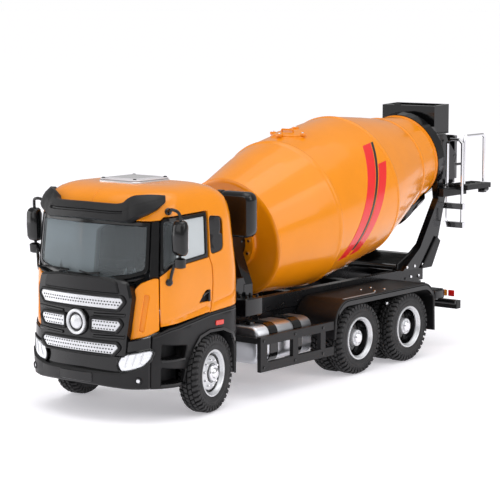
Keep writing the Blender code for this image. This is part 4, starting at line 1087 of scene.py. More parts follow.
class MIXER_OT_bumper(bpy.types.Operator):
    """Makes the front bumper, the black skirt with its steps and wheel arches, and the side markers"""

    bl_idname = "mixer.bumper"
    bl_label = "Bumper and skirt"

    def execute(self, context):
        band = Form("plastic")
        half = [
            (0.0, 13.6), (10.9, 13.3), (14.0, 13.5), (18.5, 14.8), (21.2, 16.6), (21.2, 9.2), (15.0, 9.1),
            (8.0, 9.6), (0.0, 9.8)
        ]
        outline = half[:-1] + [(0.0, 9.8)] + [(-u, v) for u, v in half[-2:0:-1]]
        add_panel(band, ahead_of(2.9), smooth_outline(outline, 0.4), (), 2.6, 0.45, 1.5, "plastic")
        mask = [
            (0.0, 18.8), (13.0, 18.8), (13.6, 21.2), (20.9, 22.9), (21.1, 13.6), (14.0, 12.4), (0.0, 12.2)
        ]
        outline = mask[:-1] + [(0.0, 12.2)] + [(-u, v) for u, v in mask[-2:0:-1]]
        add_panel(band, ahead_of(1.3), outline, (), 2.0, 0.2, 1.5, "gloss_black")
        plate = box_outline(-5.6, 10.4, 5.6, 13.0, 0.3)
        add_panel(band, sunk_by(ahead_of(2.9), -0.25), plate, (), 0.5, 0.15, 1.6, "gloss_black")
        for side in (1, -1):
            spot = ahead_of(2.9)(side * 18.4, 11.6, 0.0)
            out = cab_out(side * 18.4, 11.6)
            band.use("plastic").lathe([(0.55, -0.1), (0.65, 0.2), (0.95, 0.2), (1.05, -0.1)], spot, out, 24)
            band.use("lamp").lathe([(0, -0.3), (0.55, -0.3), (0.5, 0.0), (0, 0.1)], spot, out, 24)
        band.done("bumper_band", "root", "plastic", "front_bumper")

        for name, side in SIDES:
            skirt = Form("plastic", "gloss_black")
            place = mirrored(cab_at, side)
            arch = [
                (y, z)
                for y, z in (
                    (19.4, 8.8), (19.4, 13.5), (20.5, 18.4), (23.0, 21.2), (27.0, 22.3), (32.5, 22.2),
                    (36.4, 20.6), (38.6, 17.0), (39.6, 12.0), (40.0, 8.8)
                )
            ]
            tail = [(y, z) for y, z in ((42.2, 8.8), (42.0, 13.6), (41.2, 18.5), (40.2, 22.0))]
            outline = (
                [(21.2, 8.9), (26.0, 8.9)]
                + [(beside(z, y), z) for y, z in arch]
                + [(beside(z, y), z) for y, z in tail]
                + [(beside(27.7, 39.6), 27.7)]
                + [(u, v) for u, v in SKIRT_TOP[4:1:-1]]
                + [(21.2, 22.9)]
            )
            steps = [
                smooth_outline([(24.0, 16.7), (32.0, 16.0), (32.8, 19.6), (24.0, 20.7)], 0.4),
                smooth_outline([(24.2, 9.9), (31.6, 9.9), (32.6, 13.4), (24.2, 14.6)], 0.4),
            ]
            add_panel(skirt, place, outline, steps, 1.4, 0.25, 1.1, "plastic")
            lip = [(beside(z, y) , z) for y, z in arch]
            ribbon(skirt.use("gloss_black"), place, divided_line(lip, 1.2), 1.1, 0.45)
            ribbon(
                skirt.use("gloss_black"), place,
                divided_line(
                    [(21.6, 22.5), (26.3, 24.1), (beside(26.2, 27.2), 26.3), (beside(27.0, 38.0), 26.9)], 1.2
                ),
                0.5, 0.28
            )
            for z, depth in ((16.0, 4.2), (9.6, 4.2)):
                rows = [(24.1 + i * 0.8, z) for i in range(11)]
                rings = []
                for u, v in rows:
                    rings.append(
                        [
                            place(u, v, -0.15), place(u, v + 0.55, -0.15), place(u, v + 0.55, depth),
                            place(u, v, depth)
                        ]
                    )
                skirt.use("gloss_black").rings(rings)
                for i in range(9):
                    ribbon(
                        skirt.use("plastic"), lambda a, b, d, p=place, h=v: p(a, h + 0.5 - d, b),
                        [(24.7 + i * 0.9, 0.4), (24.7 + i * 0.9, 3.6)], 0.35, 0.14
                    )
            # Near-black sheet at the back of the step wells: painted shade.
            well = sunk_by(place, 4.2)
            add_panel(
                skirt, well, [(23.4, 9.2), (33.4, 9.2), (33.6, 21.0), (23.4, 21.6)], (), 0.4, 0.1, 1.6,
                "shade_and_seat_black"
            )
            # Near-black inner face of the wheel arch: painted shade.
            inner = [place(beside(z, y), z, 5.6) for y, z in arch]
            skirt.use("shade_and_seat_black")
            rim = [place(beside(z, y), z, 0.9) for y, z in arch]
            rings = [[a, b, b + Vector((0, 0, 0.7)), a + Vector((0, 0, 0.7))] for a, b in zip(rim, inner)]
            skirt.rings(rings)
            marker = box_outline(beside(23.0, 29.5), 22.4 + 0.0, beside(23.0, 32.8), 23.7, 0.25)
            marker = [(u, v + 1.0) for u, v in marker]
            add_panel(skirt, sunk_by(place, -0.3), marker, (), 0.5, 0.12, 1.2, "marker")
            skirt.done(f"skirt_{name}", "root", "plastic", f"front_fender_{name}")
        return {"FINISHED"}


def divided_line(points, spacing):
    made = []
    for start, end in zip(points, points[1:]):
        count = max(1, math.ceil(math.dist(start, end) / spacing))
        made += [
            (start[0] + (end[0] - start[0]) * i / count, start[1] + (end[1] - start[1]) * i / count)
            for i in range(count)
        ]
    return made + [points[-1]]


class MIXER_OT_lamps(bpy.types.Operator):
    """Makes the crescent headlights"""

    bl_idname = "mixer.lamps"
    bl_label = "Headlights"

    def execute(self, context):
        for name, side in SIDES:
            lamp = Form("lamp", "gloss_black")
            place = mirrored(ahead_of(2.2), side)
            outline = smooth_outline(
                [
                    (13.6, 17.8), (21.0, 19.6), (21.9, 19.0), (21.3, 17.0), (19.4, 15.1), (16.0, 13.9),
                    (13.4, 13.6), (12.4, 15.7)
                ],
                0.8
            )
            add_panel(lamp, place, inset(outline, -0.45), [inset(outline, 0.0)], 1.6, 0.2, 1.0, "gloss_black")
            dome = sunk_by(place, 0.25)
            add_panel(lamp, dome, inset(outline, 0.05), (), 1.0, 0.3, 0.9, "lamp")
            for share in (0.25, 0.5, 0.75):
                low = (12.9 + 7.6 * share, 14.3 + 2.3 * share)
                high = (13.9 + 7.4 * share, 17.6 + 1.5 * share)
                ribbon(lamp.use("silver"), dome, divided_line([low, high], 0.8), 0.35, 0.1)
            lamp.done(f"crescent_lamp_{name}", "root", "lamp", f"headlight_{name}")
        return {"FINISHED"}


class MIXER_OT_glazing(bpy.types.Operator):
    """Makes the windscreen with its printed border, the door glasses and the wipers"""

    bl_idname = "mixer.glazing"
    bl_label = "Glazing and wipers"

    def execute(self, context):
        half = [(0.0, 36.5), (6.8, 36.6), (13.8, 37.6), (18.6, 38.9), (19.9, 40.2), (19.9, 52.4), (0.0, 52.4)]
        outline = half + [(-u, v) for u, v in half[-2:0:-1]]
        hole = inset(smooth_outline(outline, 0.8), 1.15)
        screen = Form("gloss_black", "glass")
        add_panel(
            screen, sunk_by(cab_at, 0.1), smooth_outline(outline, 0.6), [hole], 0.9, 0.15, 1.2, "gloss_black"
        )
        add_panel(screen, sunk_by(cab_at, 0.25), inset(hole, 0.02), (), 0.6, 0.1, 1.6, "glass")
        cowl = [
            (-16.5, 37.3), (-13.6, 36.5), (-6.8, 35.4), (6.8, 35.4), (13.6, 36.5), (16.5, 37.3), (19.0, 38.4),
            (14.0, 37.2), (6.8, 36.3), (-6.8, 36.3), (-14.0, 37.2), (-19.0, 38.4)
        ]
        add_panel(screen, sunk_by(cab_at, -0.9), cowl, (), 1.8, 0.2, 1.2, "plastic")
        screen.done("windscreen_pane", "root", "glass", "windscreen")
        for name, side in SIDES:
            place = mirrored(cab_at, side)
            pane = Form("glass")
            window = inset(smooth_outline(WINDOW_LOW + FRAME_TOP, 0.8), 1.08)
            add_panel(pane, sunk_by(place, 0.35), window, (), 0.5, 0.08, 1.6, "glass")
            pane.done(f"door_pane_{name}", f"door_{name}", "glass", f"door_glass_{name}")
        for name, pivot, tip in (("left", 7.2, -1.0), ("right", -3.8, -12.0)):
            wiper = Form("plastic")
            spot = cab_at(pivot, 36.9, -1.2)
            wiper.lathe(
                [(0, -0.4), (0.62, -0.4), (0.62, 0.5), (0.4, 0.8), (0, 0.8)], spot, cab_out(pivot, 36.9), 24
            )
            arm = [
                cab_at(pivot, 37.0, -1.7), cab_at(pivot - 1.6, 38.6, -1.6),
                cab_at((pivot + tip) / 2, 38.2, -1.5), cab_at(tip, 38.7, -0.9)
            ]
            wiper.wire(arm, 0.2, 8, 0.6)
            blade = [
                cab_at(u, 37.9 + 0.45 * math.sin((u - tip) / 5.5) + abs(u) * 0.06, -0.45)
                for u in np.linspace(tip - 4.8, tip + 6.4, 12)
            ]
            wiper.wire(blade, 0.26, 6)
            wiper.done(f"wiper_arm_{name}", "root", "plastic", f"wiper_{name}")
        return {"FINISHED"}


class MIXER_OT_visor(bpy.types.Operator):
    """Makes the sun visor with its slot and raised wing tips"""

    bl_idname = "mixer.visor"
    bl_label = "Sun visor"

    def execute(self, context):
        # Stations along it: place round the cab, lower edge, upper edge, how far it stands out.
        stations = np.array(
            [
                (0.0, 52.2, 56.3, 3.1),
                (10.0, 52.0, 56.2, 3.0),
                (12.0, 51.9, 56.5, 2.9),
                (13.4, 52.1, 57.6, 2.8),
                (15.5, 52.9, 58.3, 2.5),
                (19.0, 54.2, 58.8, 1.9),
                (22.0, 55.5, 59.2, 1.2),
                (24.4, 57.4, 59.4, 0.5),
            ]
        )
        visor = Form("gloss_black", "plastic")
        count = 97
        rings = []
        for i in range(count):
            u = -24.4 + 48.8 * i / (count - 1)
            low, high, out = (np.interp(abs(u), stations[:, 0], stations[:, k]) for k in (1, 2, 3))
            middle = (low + high) / 2
            slot = 0.3 if abs(u) < 12.2 else 0.02
            rings.append(
                [
                    cab_at(u, low, 0.2),
                    cab_at(u, low, -out * 0.72),
                    cab_at(u, low + 0.35, -out * 0.97),
                    cab_at(u, middle - 0.35, -out),
                    cab_at(u, middle - 0.16, -out + slot * 1.6),
                    cab_at(u, middle + 0.16, -out + slot * 1.6),
                    cab_at(u, middle + 0.35, -out),
                    cab_at(u, high - 0.3, -out * 0.9),
                    cab_at(u, high, -out * 0.6),
                    cab_at(u, high, 0.2),
                ]
            )
        visor.use("plastic").rings(rings)
        visor.done("visor_beam", "root", "plastic", "sun_visor", angle=32)
        return {"FINISHED"}


class MIXER_OT_mirrors(bpy.types.Operator):
    """Makes the door mirrors and their bent arms"""

    bl_idname = "mixer.mirrors"
    bl_label = "Mirrors"

    def execute(self, context):
        for name, side in SIDES:
            mirror = Form("gloss_black", "chrome")
            s = side
            housing = []
            for z, x0, x1, y0, y1 in (
                (44.0, 24.6, 27.3, 12.2, 13.7),
                (44.4, 24.1, 27.8, 11.7, 14.0),
                (45.2, 23.9, 28.05, 11.4, 14.1),
                (48.5, 23.9, 28.1, 11.2, 14.1),
                (51.6, 24.1, 28.05, 11.3, 14.1),
                (52.6, 24.3, 27.8, 11.7, 14.0),
                (53.0, 24.8, 27.2, 12.2, 13.7),
            ):
                housing.append(
                    [(s * x, y, z) for x, y in box_outline(x0, y0, x1, y1, 0.9 if x1 - x0 > 3 else 0.6)]
                )
            mirror.use("gloss_black").rings(housing)
            mirror.use("chrome").block((s * 24.4, 14.05, 45.3), (s * 27.6, 14.3, 51.9), 0.1, "Y", 0.6)
            lower = []
            for z, x0, x1, y0, y1 in (
                (40.6, 25.0, 26.8, 12.1, 13.5), (40.9, 24.5, 27.3, 11.8, 13.8),
                (43.0, 24.5, 27.4, 11.7, 13.8), (43.4, 25.0, 26.9, 12.1, 13.5)
            ):
                lower.append([(s * x, y, z) for x, y in box_outline(x0, y0, x1, y1, 0.6)])
            mirror.use("gloss_black").rings(lower)
            top = [
                (22.0, 12.8, 55.0), (23.0, 12.2, 55.7), (24.2, 12.0, 55.8), (25.6, 12.3, 55.4),
                (26.1, 12.8, 54.2), (26.1, 12.9, 52.6)
            ]
            mirror.wire([(s * x, y, z) for x, y, z in top], 0.42, 12, 1.0)
            bottom = [
                (22.8, 11.6, 36.9), (23.6, 11.6, 37.2), (23.9, 11.8, 39.4), (24.5, 12.2, 41.6),
                (25.6, 12.8, 42.6), (25.9, 12.9, 44.2)
            ]
            mirror.wire([(s * x, y, z) for x, y, z in bottom], 0.42, 12, 1.0)
            for u, v, x in ((25.4, 55.0, 22.4), (25.5, 36.9, 23.4)):
                spot, out = cab_at(side * u, v, 0.1), cab_out(side * u, v)
                mirror.lathe([(0, 0), (0.95, 0), (0.95, 0.45), (0.6, 0.75), (0, 0.75)], spot, out, 24)
            mirror.done(f"door_mirror_{name}", f"door_{name}", "plastic", f"mirror_{name}", angle=40)
        return {"FINISHED"}


# ------------------------------------------------------------------ wheels


def tyre(form, middle, axle, width, lug):
    """A tyre with grooved shoulders and staggered tread blocks."""
    form.use("rubber")
    half = width / 2
    crown = TYRE_RADIUS - lug
    profile = [
        (6.35, -half + 0.35),
        (7.0, -half + 0.1),
        (7.6, -half),
        (7.7, -half),
        (8.0, -half + 0.12),
        (8.3, -half + 0.02),
        (9.2, -half + 0.12),
        (crown - 0.35, -half + 0.45),
        (crown, -half + 0.9),
    ]
    profile += [(r, -d) for r, d in profile[::-1]]
    profile += [(5.9, half - 0.6), (5.9, -half + 0.6)]
    form.lathe(profile, middle, axle, 96)
    along = Vector(axle).normalized()
    side = along.orthogonal().normalized()
    up = along.cross(side)
    middle = Vector(middle)

    def spot(turn, radius, shift):
        return middle + along * shift + (side * math.cos(turn) + up * math.sin(turn)) * radius

    count = 40
    pitch = 2 * math.pi / count
    rows = (
        (-half + 0.02, -half + 1.35, 0.0, 0.62),
        (-half + 1.62, -0.16, 0.5, 0.8),
        (0.16, half - 1.62, 0.0, 0.8),
        (half - 1.35, half - 0.02, 0.5, 0.62),
    )
    for low, high, stagger, fill in rows:
        outer = abs(low) if abs(low) > abs(high) else abs(high)
        for i in range(count):
            start = (i + stagger) * pitch
            end = start + pitch * fill
            lean = 0.25 * pitch if low < 0 else -0.25 * pitch
            top = TYRE_RADIUS - (0.55 if outer > half - 0.1 else 0.0)
            levels = []
            for radius, soft in ((crown - 0.7, 0.0), (TYRE_RADIUS - 0.12, 0.0), (TYRE_RADIUS, 0.12)):
                ring = []
                for turn, shift, bend in (
                    (start + soft * 0.1, low + soft, 0), (end - soft * 0.1, low + soft, 0),
                    (end - soft * 0.1, high - soft, lean), (start + soft * 0.1, high - soft, lean)
                ):
                    drop = 0.5 if abs(shift) > half - 0.3 and radius > crown else 0.0
                    ring.append(spot(turn + bend, radius - drop, shift))
                levels.append(ring)
            form.rings(levels)
    for i in range(48):
        turn = 2 * math.pi * i / 48
        for end in (-1, 1):
            ring = [
                spot(turn + d, r, end * (half + 0.03))
                for d, r in ((-0.02, 8.6), (0.02, 8.6), (0.016, 9.3), (-0.016, 9.3))
            ]
            deep = [
                spot(turn + d, r, end * (half - 0.4))
                for d, r in ((-0.02, 8.6), (0.02, 8.6), (0.016, 9.3), (-0.016, 9.3))
            ]
            form.rings([deep, ring])


def nuts(form, middle, axle, radius, shift, count, size, height, finish="chrome"):
    """A circle of hexagonal nuts with washers."""
    along = Vector(axle).normalized()
    side = along.orthogonal().normalized()
    up = along.cross(side)
    for i in range(count):
        turn = 2 * math.pi * (i + 0.5) / count
        spot = Vector(middle) + along * shift + (side * math.cos(turn) + up * math.sin(turn)) * radius
        form.use(finish).lathe(
            [(0, 0), (size * 1.25, 0), (size * 1.2, height * 0.25), (0, height * 0.25)], spot, along, 12
        )
        form.use(finish).lathe(
            [(0, 0), (size, 0), (size, height * 0.8), (size * 0.6, height), (0, height)], spot, along, 6
        )


class MIXER_OT_front_wheels(bpy.types.Operator):
    """Makes the two steered wheels: treaded tyres and bright rims with convex hubs"""

    bl_idname = "mixer.front_wheels"
    bl_label = "Front wheels"

    def execute(self, context):
        lug = context.scene.mixer_sizes.lug / MM
        for name, side in SIDES:
            joint = JOINTS[f"wheel_front_{name}_spin"]
            middle = joint_place(joint["name"])
            axle = Vector(joint["axis"]).normalized() * side
            rubber = Form("rubber")
            tyre(rubber, middle, axle, 5.6, lug)
            rubber.done(f"front_tyre_{name}", f"wheel_front_{name}", "rubber", f"tyre_front_{name}", angle=30)
            rim = Form("silver", "gloss_black", "chrome")
            rim.use("silver").lathe(
                [
                    (5.75, -2.3), (6.38, -2.3), (6.38, 2.2), (6.3, 2.45), (6.0, 2.5), (5.7, 2.3), (5.45, 1.7),
                    (5.3, 1.5), (5.15, -2.3)
                ],
                middle, axle, 72,
            )
            rim.use("gloss_black").lathe(
                [(5.35, 1.35), (4.5, 0.75), (4.3, 0.4), (4.3, -0.6), (5.35, -0.6)], middle, axle, 72
            )
            rim.use("silver").lathe(
                [
                    (0, -0.8), (4.75, -0.8), (4.75, 0.9), (4.6, 1.25), (4.3, 1.4), (3.9, 1.4), (2.7, 1.75),
                    (2.5, 1.9), (0, 1.9)
                ],
                middle, axle, 72
            )
            rim.use("gloss_black").lathe(
                [(2.35, 1.8), (2.6, 1.8), (2.6, 1.98), (2.35, 1.98)], middle, axle, 60
            )
            rim.use("chrome").lathe(
                [
                    (0, 1.8), (2.25, 1.8), (2.25, 2.5), (2.1, 2.75), (1.5, 2.85), (1.35, 3.3), (1.1, 3.5),
                    (0.5, 3.58), (0, 3.58)
                ],
                middle, axle, 60,
            )
            nuts(rim, middle, axle, 3.55, 1.5, 10, 0.33, 0.6)
            rim.done(f"front_rim_{name}", f"wheel_front_{name}", "plated", f"rim_front_{name}", angle=32)
        return {"FINISHED"}


class MIXER_OT_rear_wheels(bpy.types.Operator):
    """Makes the four twin rear wheels: paired tyres, deep black dishes and studded hub caps"""

    bl_idname = "mixer.rear_wheels"
    bl_label = "Rear wheels"

    def execute(self, context):
        lug = context.scene.mixer_sizes.lug / MM
        for number in (1, 2):
            joint = JOINTS[f"rear_axle_{number}_spin"]
            axle_y = joint_place(joint["name"]).y
            for name, side in SIDES:
                low, high = extent(f"tyre_rear_{number}_{name}")
                inner, outer = sorted((abs(low.x), abs(high.x)))
                axle = Vector((side, 0, 0))
                width = (outer - inner - 0.7) / 2
                pair = Form("rubber")
                for middle_x in (inner + width / 2, outer - width / 2):
                    tyre(pair, (side * middle_x, axle_y, AXLE_Z), axle, width, lug)
                pair.use("rubber").lathe(
                    [(6.0, inner + 1.0), (7.6, inner + 1.0), (7.6, outer - 1.0), (6.0, outer - 1.0)],
                    (0, axle_y, AXLE_Z), axle, 64
                )
                pair.done(
                    f"twin_tyre_{number}_{name}", f"rear_wheels_{number}", "rubber",
                    f"tyre_rear_{number}_{name}", angle=30
                )
                rim = Form("silver", "gloss_black", "chrome")
                middle = Vector((side * outer, axle_y, AXLE_Z))
                rim.use("silver").lathe(
                    [
                        (5.3, -1.7), (6.36, -1.7), (6.36, -0.25), (6.25, 0.0), (5.95, 0.05), (5.7, -0.15),
                        (5.5, -0.7), (5.3, -0.9)
                    ],
                    middle, axle, 72
                )
                rim.use("gloss_black").lathe(
                    [
                        (5.45, -0.8), (5.2, -1.6), (4.9, -4.6), (4.3, -5.0), (2.4, -5.0), (2.4, -10.5),
                        (5.9, -10.5), (5.9, -1.2)
                    ],
                    middle, axle, 72
                )
                rim.use("silver").lathe(
                    [
                        (0, -5.4), (3.9, -5.4), (3.9, -4.7), (3.4, -4.5), (2.8, -4.4), (2.6, -3.9),
                        (2.45, -1.4), (2.3, -1.1), (0, -1.1)
                    ],
                    middle, axle, 60,
                )
                rim.use("chrome").lathe(
                    [(0, -1.2), (1.5, -1.2), (1.5, -0.7), (1.2, -0.45), (0, -0.35)], middle, axle, 48
                )
                nuts(rim, middle, axle, 3.35, -4.6, 10, 0.33, 0.7)
                nuts(rim, middle, axle, 1.95, -1.15, 8, 0.16, 0.35, "silver")
                rim.done(
                    f"deep_rim_{number}_{name}", f"rear_wheels_{number}", "steel",
                    f"rim_rear_{number}_{name}", angle=32
                )
        return {"FINISHED"}


# ------------------------------------------------------------------ drum

DRUM = JOINTS["drum_spin"]
DRUM_AXIS = Vector(DRUM["axis"]).normalized()
DRUM_PLACE = joint_place("drum_spin")
DRUM_UP = Vector((1, 0, 0)).cross(DRUM_AXIS)
# Stations along the drum's outside: distance from its front, radius.
DRUM_LINE = np.array(
    [
        (0.9, 17.5), (1.6, 17.65), (8.0, 19.0), (16.0, 20.75), (23.1, 22.1), (24.7, 22.3), (32.0, 22.45),
        (39.0, 22.5), (46.0, 22.42),
        (53.6, 22.25), (55.2, 22.0), (62.0, 20.3), (70.0, 18.1), (78.5, 15.6), (80.1, 15.25), (85.0, 14.4),
        (89.0, 13.7),
    ]
)
BEADS = (23.9, 54.4, 79.3)


def drum_at(a, b, depth=0.0):
    """A point under the drum's surface: a runs round the barrel, b along it, both in millimetres."""
    radius = float(np.interp(b, DRUM_LINE[:, 0], DRUM_LINE[:, 1])) - depth
    turn = a / 22.4
    return DRUM_PLACE + DRUM_AXIS * b + (
        Vector((1, 0, 0)) * math.cos(turn) + DRUM_UP * math.sin(turn)
    ) * radius


class MIXER_OT_drum(bpy.types.Operator):
    """Makes the drum with its beads, printed bands and filling hatch"""

    bl_idname = "mixer.drum"
    bl_label = "Drum"

    def execute(self, context):
        rise = context.scene.mixer_sizes.bead / MM
        outside = []
        steps = np.arange(0.9, 89.01, 0.8)
        for b in sorted([*steps, *[m + d for m in BEADS for d in (-0.85, -0.6, -0.3, 0.0, 0.3, 0.6, 0.85)]]):
            radius = float(np.interp(b, DRUM_LINE[:, 0], DRUM_LINE[:, 1]))
            lift = max((rise * max(0.0, 1 - ((b - m) / 0.85) ** 2) ** 0.5 for m in BEADS), default=0.0)
            outside.append((radius + lift, float(b)))
        front = [
            (0.0, -1.2), (8.8, -1.2), (8.8, -0.3), (9.2, 0.0), (15.6, -0.1), (16.4, -0.35), (17.1, -0.3),
            (17.6, 0.1), (17.7, 0.6)
        ]
        rear = [
            (13.5, 89.3), (13.9, 89.6), (13.9, 90.6), (13.4, 90.9), (12.0, 91.2), (11.6, 91.8), (11.6, 93.4),
            (10.8, 93.4)
        ]
        inside_line = [(r - 1.2, b) for r, b in outside[::-4] if 3 < b < 88]
        body = Form("paint", "gloss_black")
        body.use("paint").lathe(
            front + outside + rear[:4] + [(11.9, 90.9), (11.9, 88.5)] + inside_line + [
                (16.0, 1.2), (0.0, 1.2)
            ],
            DRUM_PLACE, DRUM_AXIS, 192
        )
        body.use("gloss_black").lathe(
            [
                (11.9, 89.8), (13.2, 91.0), (13.2, 92.2), (12.2, 92.4), (11.6, 93.5), (10.6, 93.5),
                (10.6, 89.8)
            ],
            DRUM_PLACE, DRUM_AXIS, 96
        )
        for i in range(12):
            turn = 2 * math.pi * i / 12
            spot = DRUM_PLACE + (
                Vector((1, 0, 0)) * math.cos(turn) + DRUM_UP * math.sin(turn)
            ) * 7.6 - DRUM_AXIS * 1.15
            body.use("chrome").lathe(
                [(0, -0.5), (0.45, -0.5), (0.5, -0.3), (0.5, 0.3), (0, 0.3)], spot, DRUM_AXIS, 6
            )
        body.done("drum_body", "drum", "paint", "drum_shell", angle=36)

        bands = Form("red", "ink")
        for start in (math.radians(6) * 22.4, math.radians(186) * 22.4):
            for low, high, first, slope, width, finish in (
                (-17.0, 15.0, 25.8, 0.66, 4.2, "red"),
                (-15.0, 15.0, 31.6, 0.66, 1.1, "ink"),
                (-17.0, 8.0, 31.8, 0.66, 4.2, "red"),
            ):
                outline = [
                    (start + low, first),
                    (start + high, first + slope * (high - low)),
                    (start + high, first + slope * (high - low) + width),
                    (start + low, first + width),
                ]
                add_panel(bands, sunk_by(drum_at, -0.09), outline, (), 0.35, 0.04, 0.9, finish)
        bands.done("drum_bands", "drum", "paint", angle=40)

        hatch = Form("paint", "gloss_black", "chrome")
        top = math.radians(90) * 22.4
        oval = [
            (top + 6.0 * math.cos(t), 32.2 + 4.5 * math.sin(t)) for t in np.linspace(0, 2 * math.pi, 41)[:-1]
        ]
        add_panel(hatch, sunk_by(drum_at, -0.3), oval, (), 0.9, 0.25, 1.2, "paint")
        add_panel(hatch, sunk_by(drum_at, -0.75), inset(oval, 0.7), (), 0.6, 0.25, 1.2, "paint")
        for a, b in ((5.3, 0), (-5.3, 0), (0, 4.0), (0, -4.0)):
            spot = drum_at(top + a, 32.2 + b, -0.7)
            hatch.use("paint").block(
                spot - Vector((0.9, 0.6, 0.5)), spot + Vector((0.9, 0.6, 0.45)), 0.2, "Z"
            )
            hatch.use("chrome").lathe(
                [(0, 0), (0.32, 0), (0.32, 0.3), (0, 0.35)], spot + Vector((0, 0, 0.4)), (0, 0, 1), 12
            )
        hatch.use("paint").wire(
            [
                drum_at(top - 2, 32.2, -0.6), drum_at(top - 2, 32.2, -1.5), drum_at(top + 2, 32.2, -1.5),
                drum_at(top + 2, 32.2, -0.6)
            ],
            0.25, 8, 0.5
        )
        hatch.done("filling_hatch", "drum", "paint", "drum_hatch", angle=36)
        return {"FINISHED"}


# ------------------------------------------------------------------ chassis


def soften(node, width, segments=2):
    """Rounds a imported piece's edges."""
    soft = frame["nodes"][node].modifiers.new("soft edges", "BEVEL")
    soft.width = width * MM
    soft.segments = segments
    soft.limit_method = "ANGLE"
    soft.angle_limit = math.radians(40)
    frame["nodes"][node].data.shade_smooth()
    weighted = frame["nodes"][node].modifiers.new("even shading", "WEIGHTED_NORMAL")
    weighted.keep_sharp = True


def screw(form, spot, along, radius=0.4, height=0.3, finish="chrome"):
    form.use(finish).lathe(
        [(0, 0), (radius, 0), (radius, height * 0.6), (radius * 0.7, height), (0, height)], spot, along, 16
    )


class MIXER_OT_frame(bpy.types.Operator):
    """Finishes the ladder frame with screws, a shaft along its middle and spring leaves over the axles"""

    bl_idname = "mixer.frame"
    bl_label = "Ladder frame"

    def execute(self, context):
        low, high = extent("subframe")
        rail_low, rail_high = extent("chassis_frame")
        fittings = Form("chrome", "gloss_black")
        for side in (1, -1):
            for y in np.linspace(low.y + 3.0, high.y - 3.0, 15):
                screw(fittings, (side * high.x, y, low.z + 1.3), (side, 0, 0), 0.38, 0.28, "gloss_black")
            for y in (high.y - 7.0, high.y - 2.6):
                screw(fittings, (side * high.x, y, high.z - 2.6), (side, 0, 0), 0.5, 0.3, "chrome")
            for y in np.linspace(rail_low.y + 40.0, rail_high.y - 6.0, 12):
                screw(
                    fittings, (side * rail_high.x, y, rail_high.z - 1.6), (side, 0, 0), 0.42, 0.25,
                    "gloss_black"
                )
                screw(
                    fittings, (side * rail_high.x, y, rail_high.z - 3.6), (side, 0, 0), 0.42, 0.25,
                    "gloss_black"
                )
        fittings.use("gloss_black").rod(
            (0.0, 44.0, 14.6), (0.0, joint_place("rear_axle_1_spin").y - 6.0, 12.0), 1.3, 24, 0.3
        )
        for name in ("rear_axle_1_spin", "rear_axle_2_spin"):
            y = joint_place(name).y
            for side in (1, -1):
                for lift, reach in ((5.2, 9.6), (6.2, 8.0), (7.2, 6.4)):
                    if AXLE_Z + lift + 0.8 < rail_low.z + 7.0:
                        fittings.use("gloss_black").block(
                            (side * 11.0, y - reach, AXLE_Z + lift - 0.4),
                            (side * 12.6, y + reach, AXLE_Z + lift + 0.4), 0.15, "X"
                        )
        fittings.done("frame_fittings", "root", "chassis")
        for node in (
            "chassis_frame", "subframe", "rear_bumper", "platform", "front_pedestal", "side_guard_left",
            "side_guard_right"
        ):
            soften(node, 0.22)
        return {"FINISHED"}


class MIXER_OT_tanks(bpy.types.Operator):
    """Makes the strapped fuel tank, the battery box and the bolts of the side guards"""

    bl_idname = "mixer.tanks"
    bl_label = "Tank and side guards"

    def execute(self, context):
        low, high = extent("fuel_tank")
        tank = Form("tank", "gloss_black", "chrome")
        outline = smooth_outline(
            [
                (low.x + 0.6, low.z + 0.5), (high.x - 0.3, low.z + 0.5), (high.x - 0.3, high.z - 0.6),
                (low.x + 0.6, high.z - 0.6)
            ],
            3.4, 8
        )
        rings = []
        for y, by in (
            (low.y, 0.9), (low.y + 0.3, 0.35), (low.y + 0.9, 0.0), (high.y - 0.9, 0.0), (high.y - 0.3, 0.35),
            (high.y, 0.9)
        ):
            rings.append([(x, y, z) for x, z in inset(outline, by)])
        tank.use("tank").rings(rings)
        for start in (5.2, 16.4):
            hoop = inset(outline, -0.3)
            strap = []
            for y, by in (
                (low.y + start, 0.2), (low.y + start + 0.15, 0.0), (low.y + start + 3.6, 0.0),
                (low.y + start + 3.75, 0.2)
            ):
                strap.append([(x, y, z) for x, z in inset(hoop, by)])
            tank.use("gloss_black").rings(strap)
        screw(
            tank, ((low.x + high.x) / 2 + 1.0, low.y + 2.6, high.z - 0.7), (0, 0, 1), 1.3, 0.9, "gloss_black"
        )
        tank.done("strapped_tank", "root", "tank", "fuel_tank")

        low, high = extent("battery_box")
        box = Form("gloss_black", "plastic", "chrome")
        box.use("gloss_black").block(low + Vector((0.3, 0, 0)), high, 0.5, "Y", 0.8)
        for i in range(7):
            y = low.y + 2.2 + i * (high.y - low.y - 4.4) / 6
            box.use("plastic").block(
                (low.x, y - 0.5, low.z + 1.6), (low.x + 0.5, y + 0.5, high.z - 1.6), 0.15, "Y"
            )
        box.use("plastic").block(
            (low.x + 0.4, low.y + 0.4, high.z - 0.2), (high.x - 0.4, high.y - 0.4, high.z), 0.1, "Z", 0.6
        )
        box.done("battery_case", "root", "gloss_black", "battery_box")

        bolts = Form("gloss_black")
        for name, side in SIDES:
            low, high = extent(f"side_guard_{name}")
            face = high.x if side > 0 else low.x
            for y in (low.y + 1.5, low.y + 15.9, high.y - 5.3):
                for z in (low.z + 1.2, high.z - 1.2):
                    screw(bolts, (face - side * 0.02, y, z), (side, 0, 0), 0.45, 0.25, "gloss_black")
        bolts.done("guard_bolts", "root", "plastic")
        return {"FINISHED"}


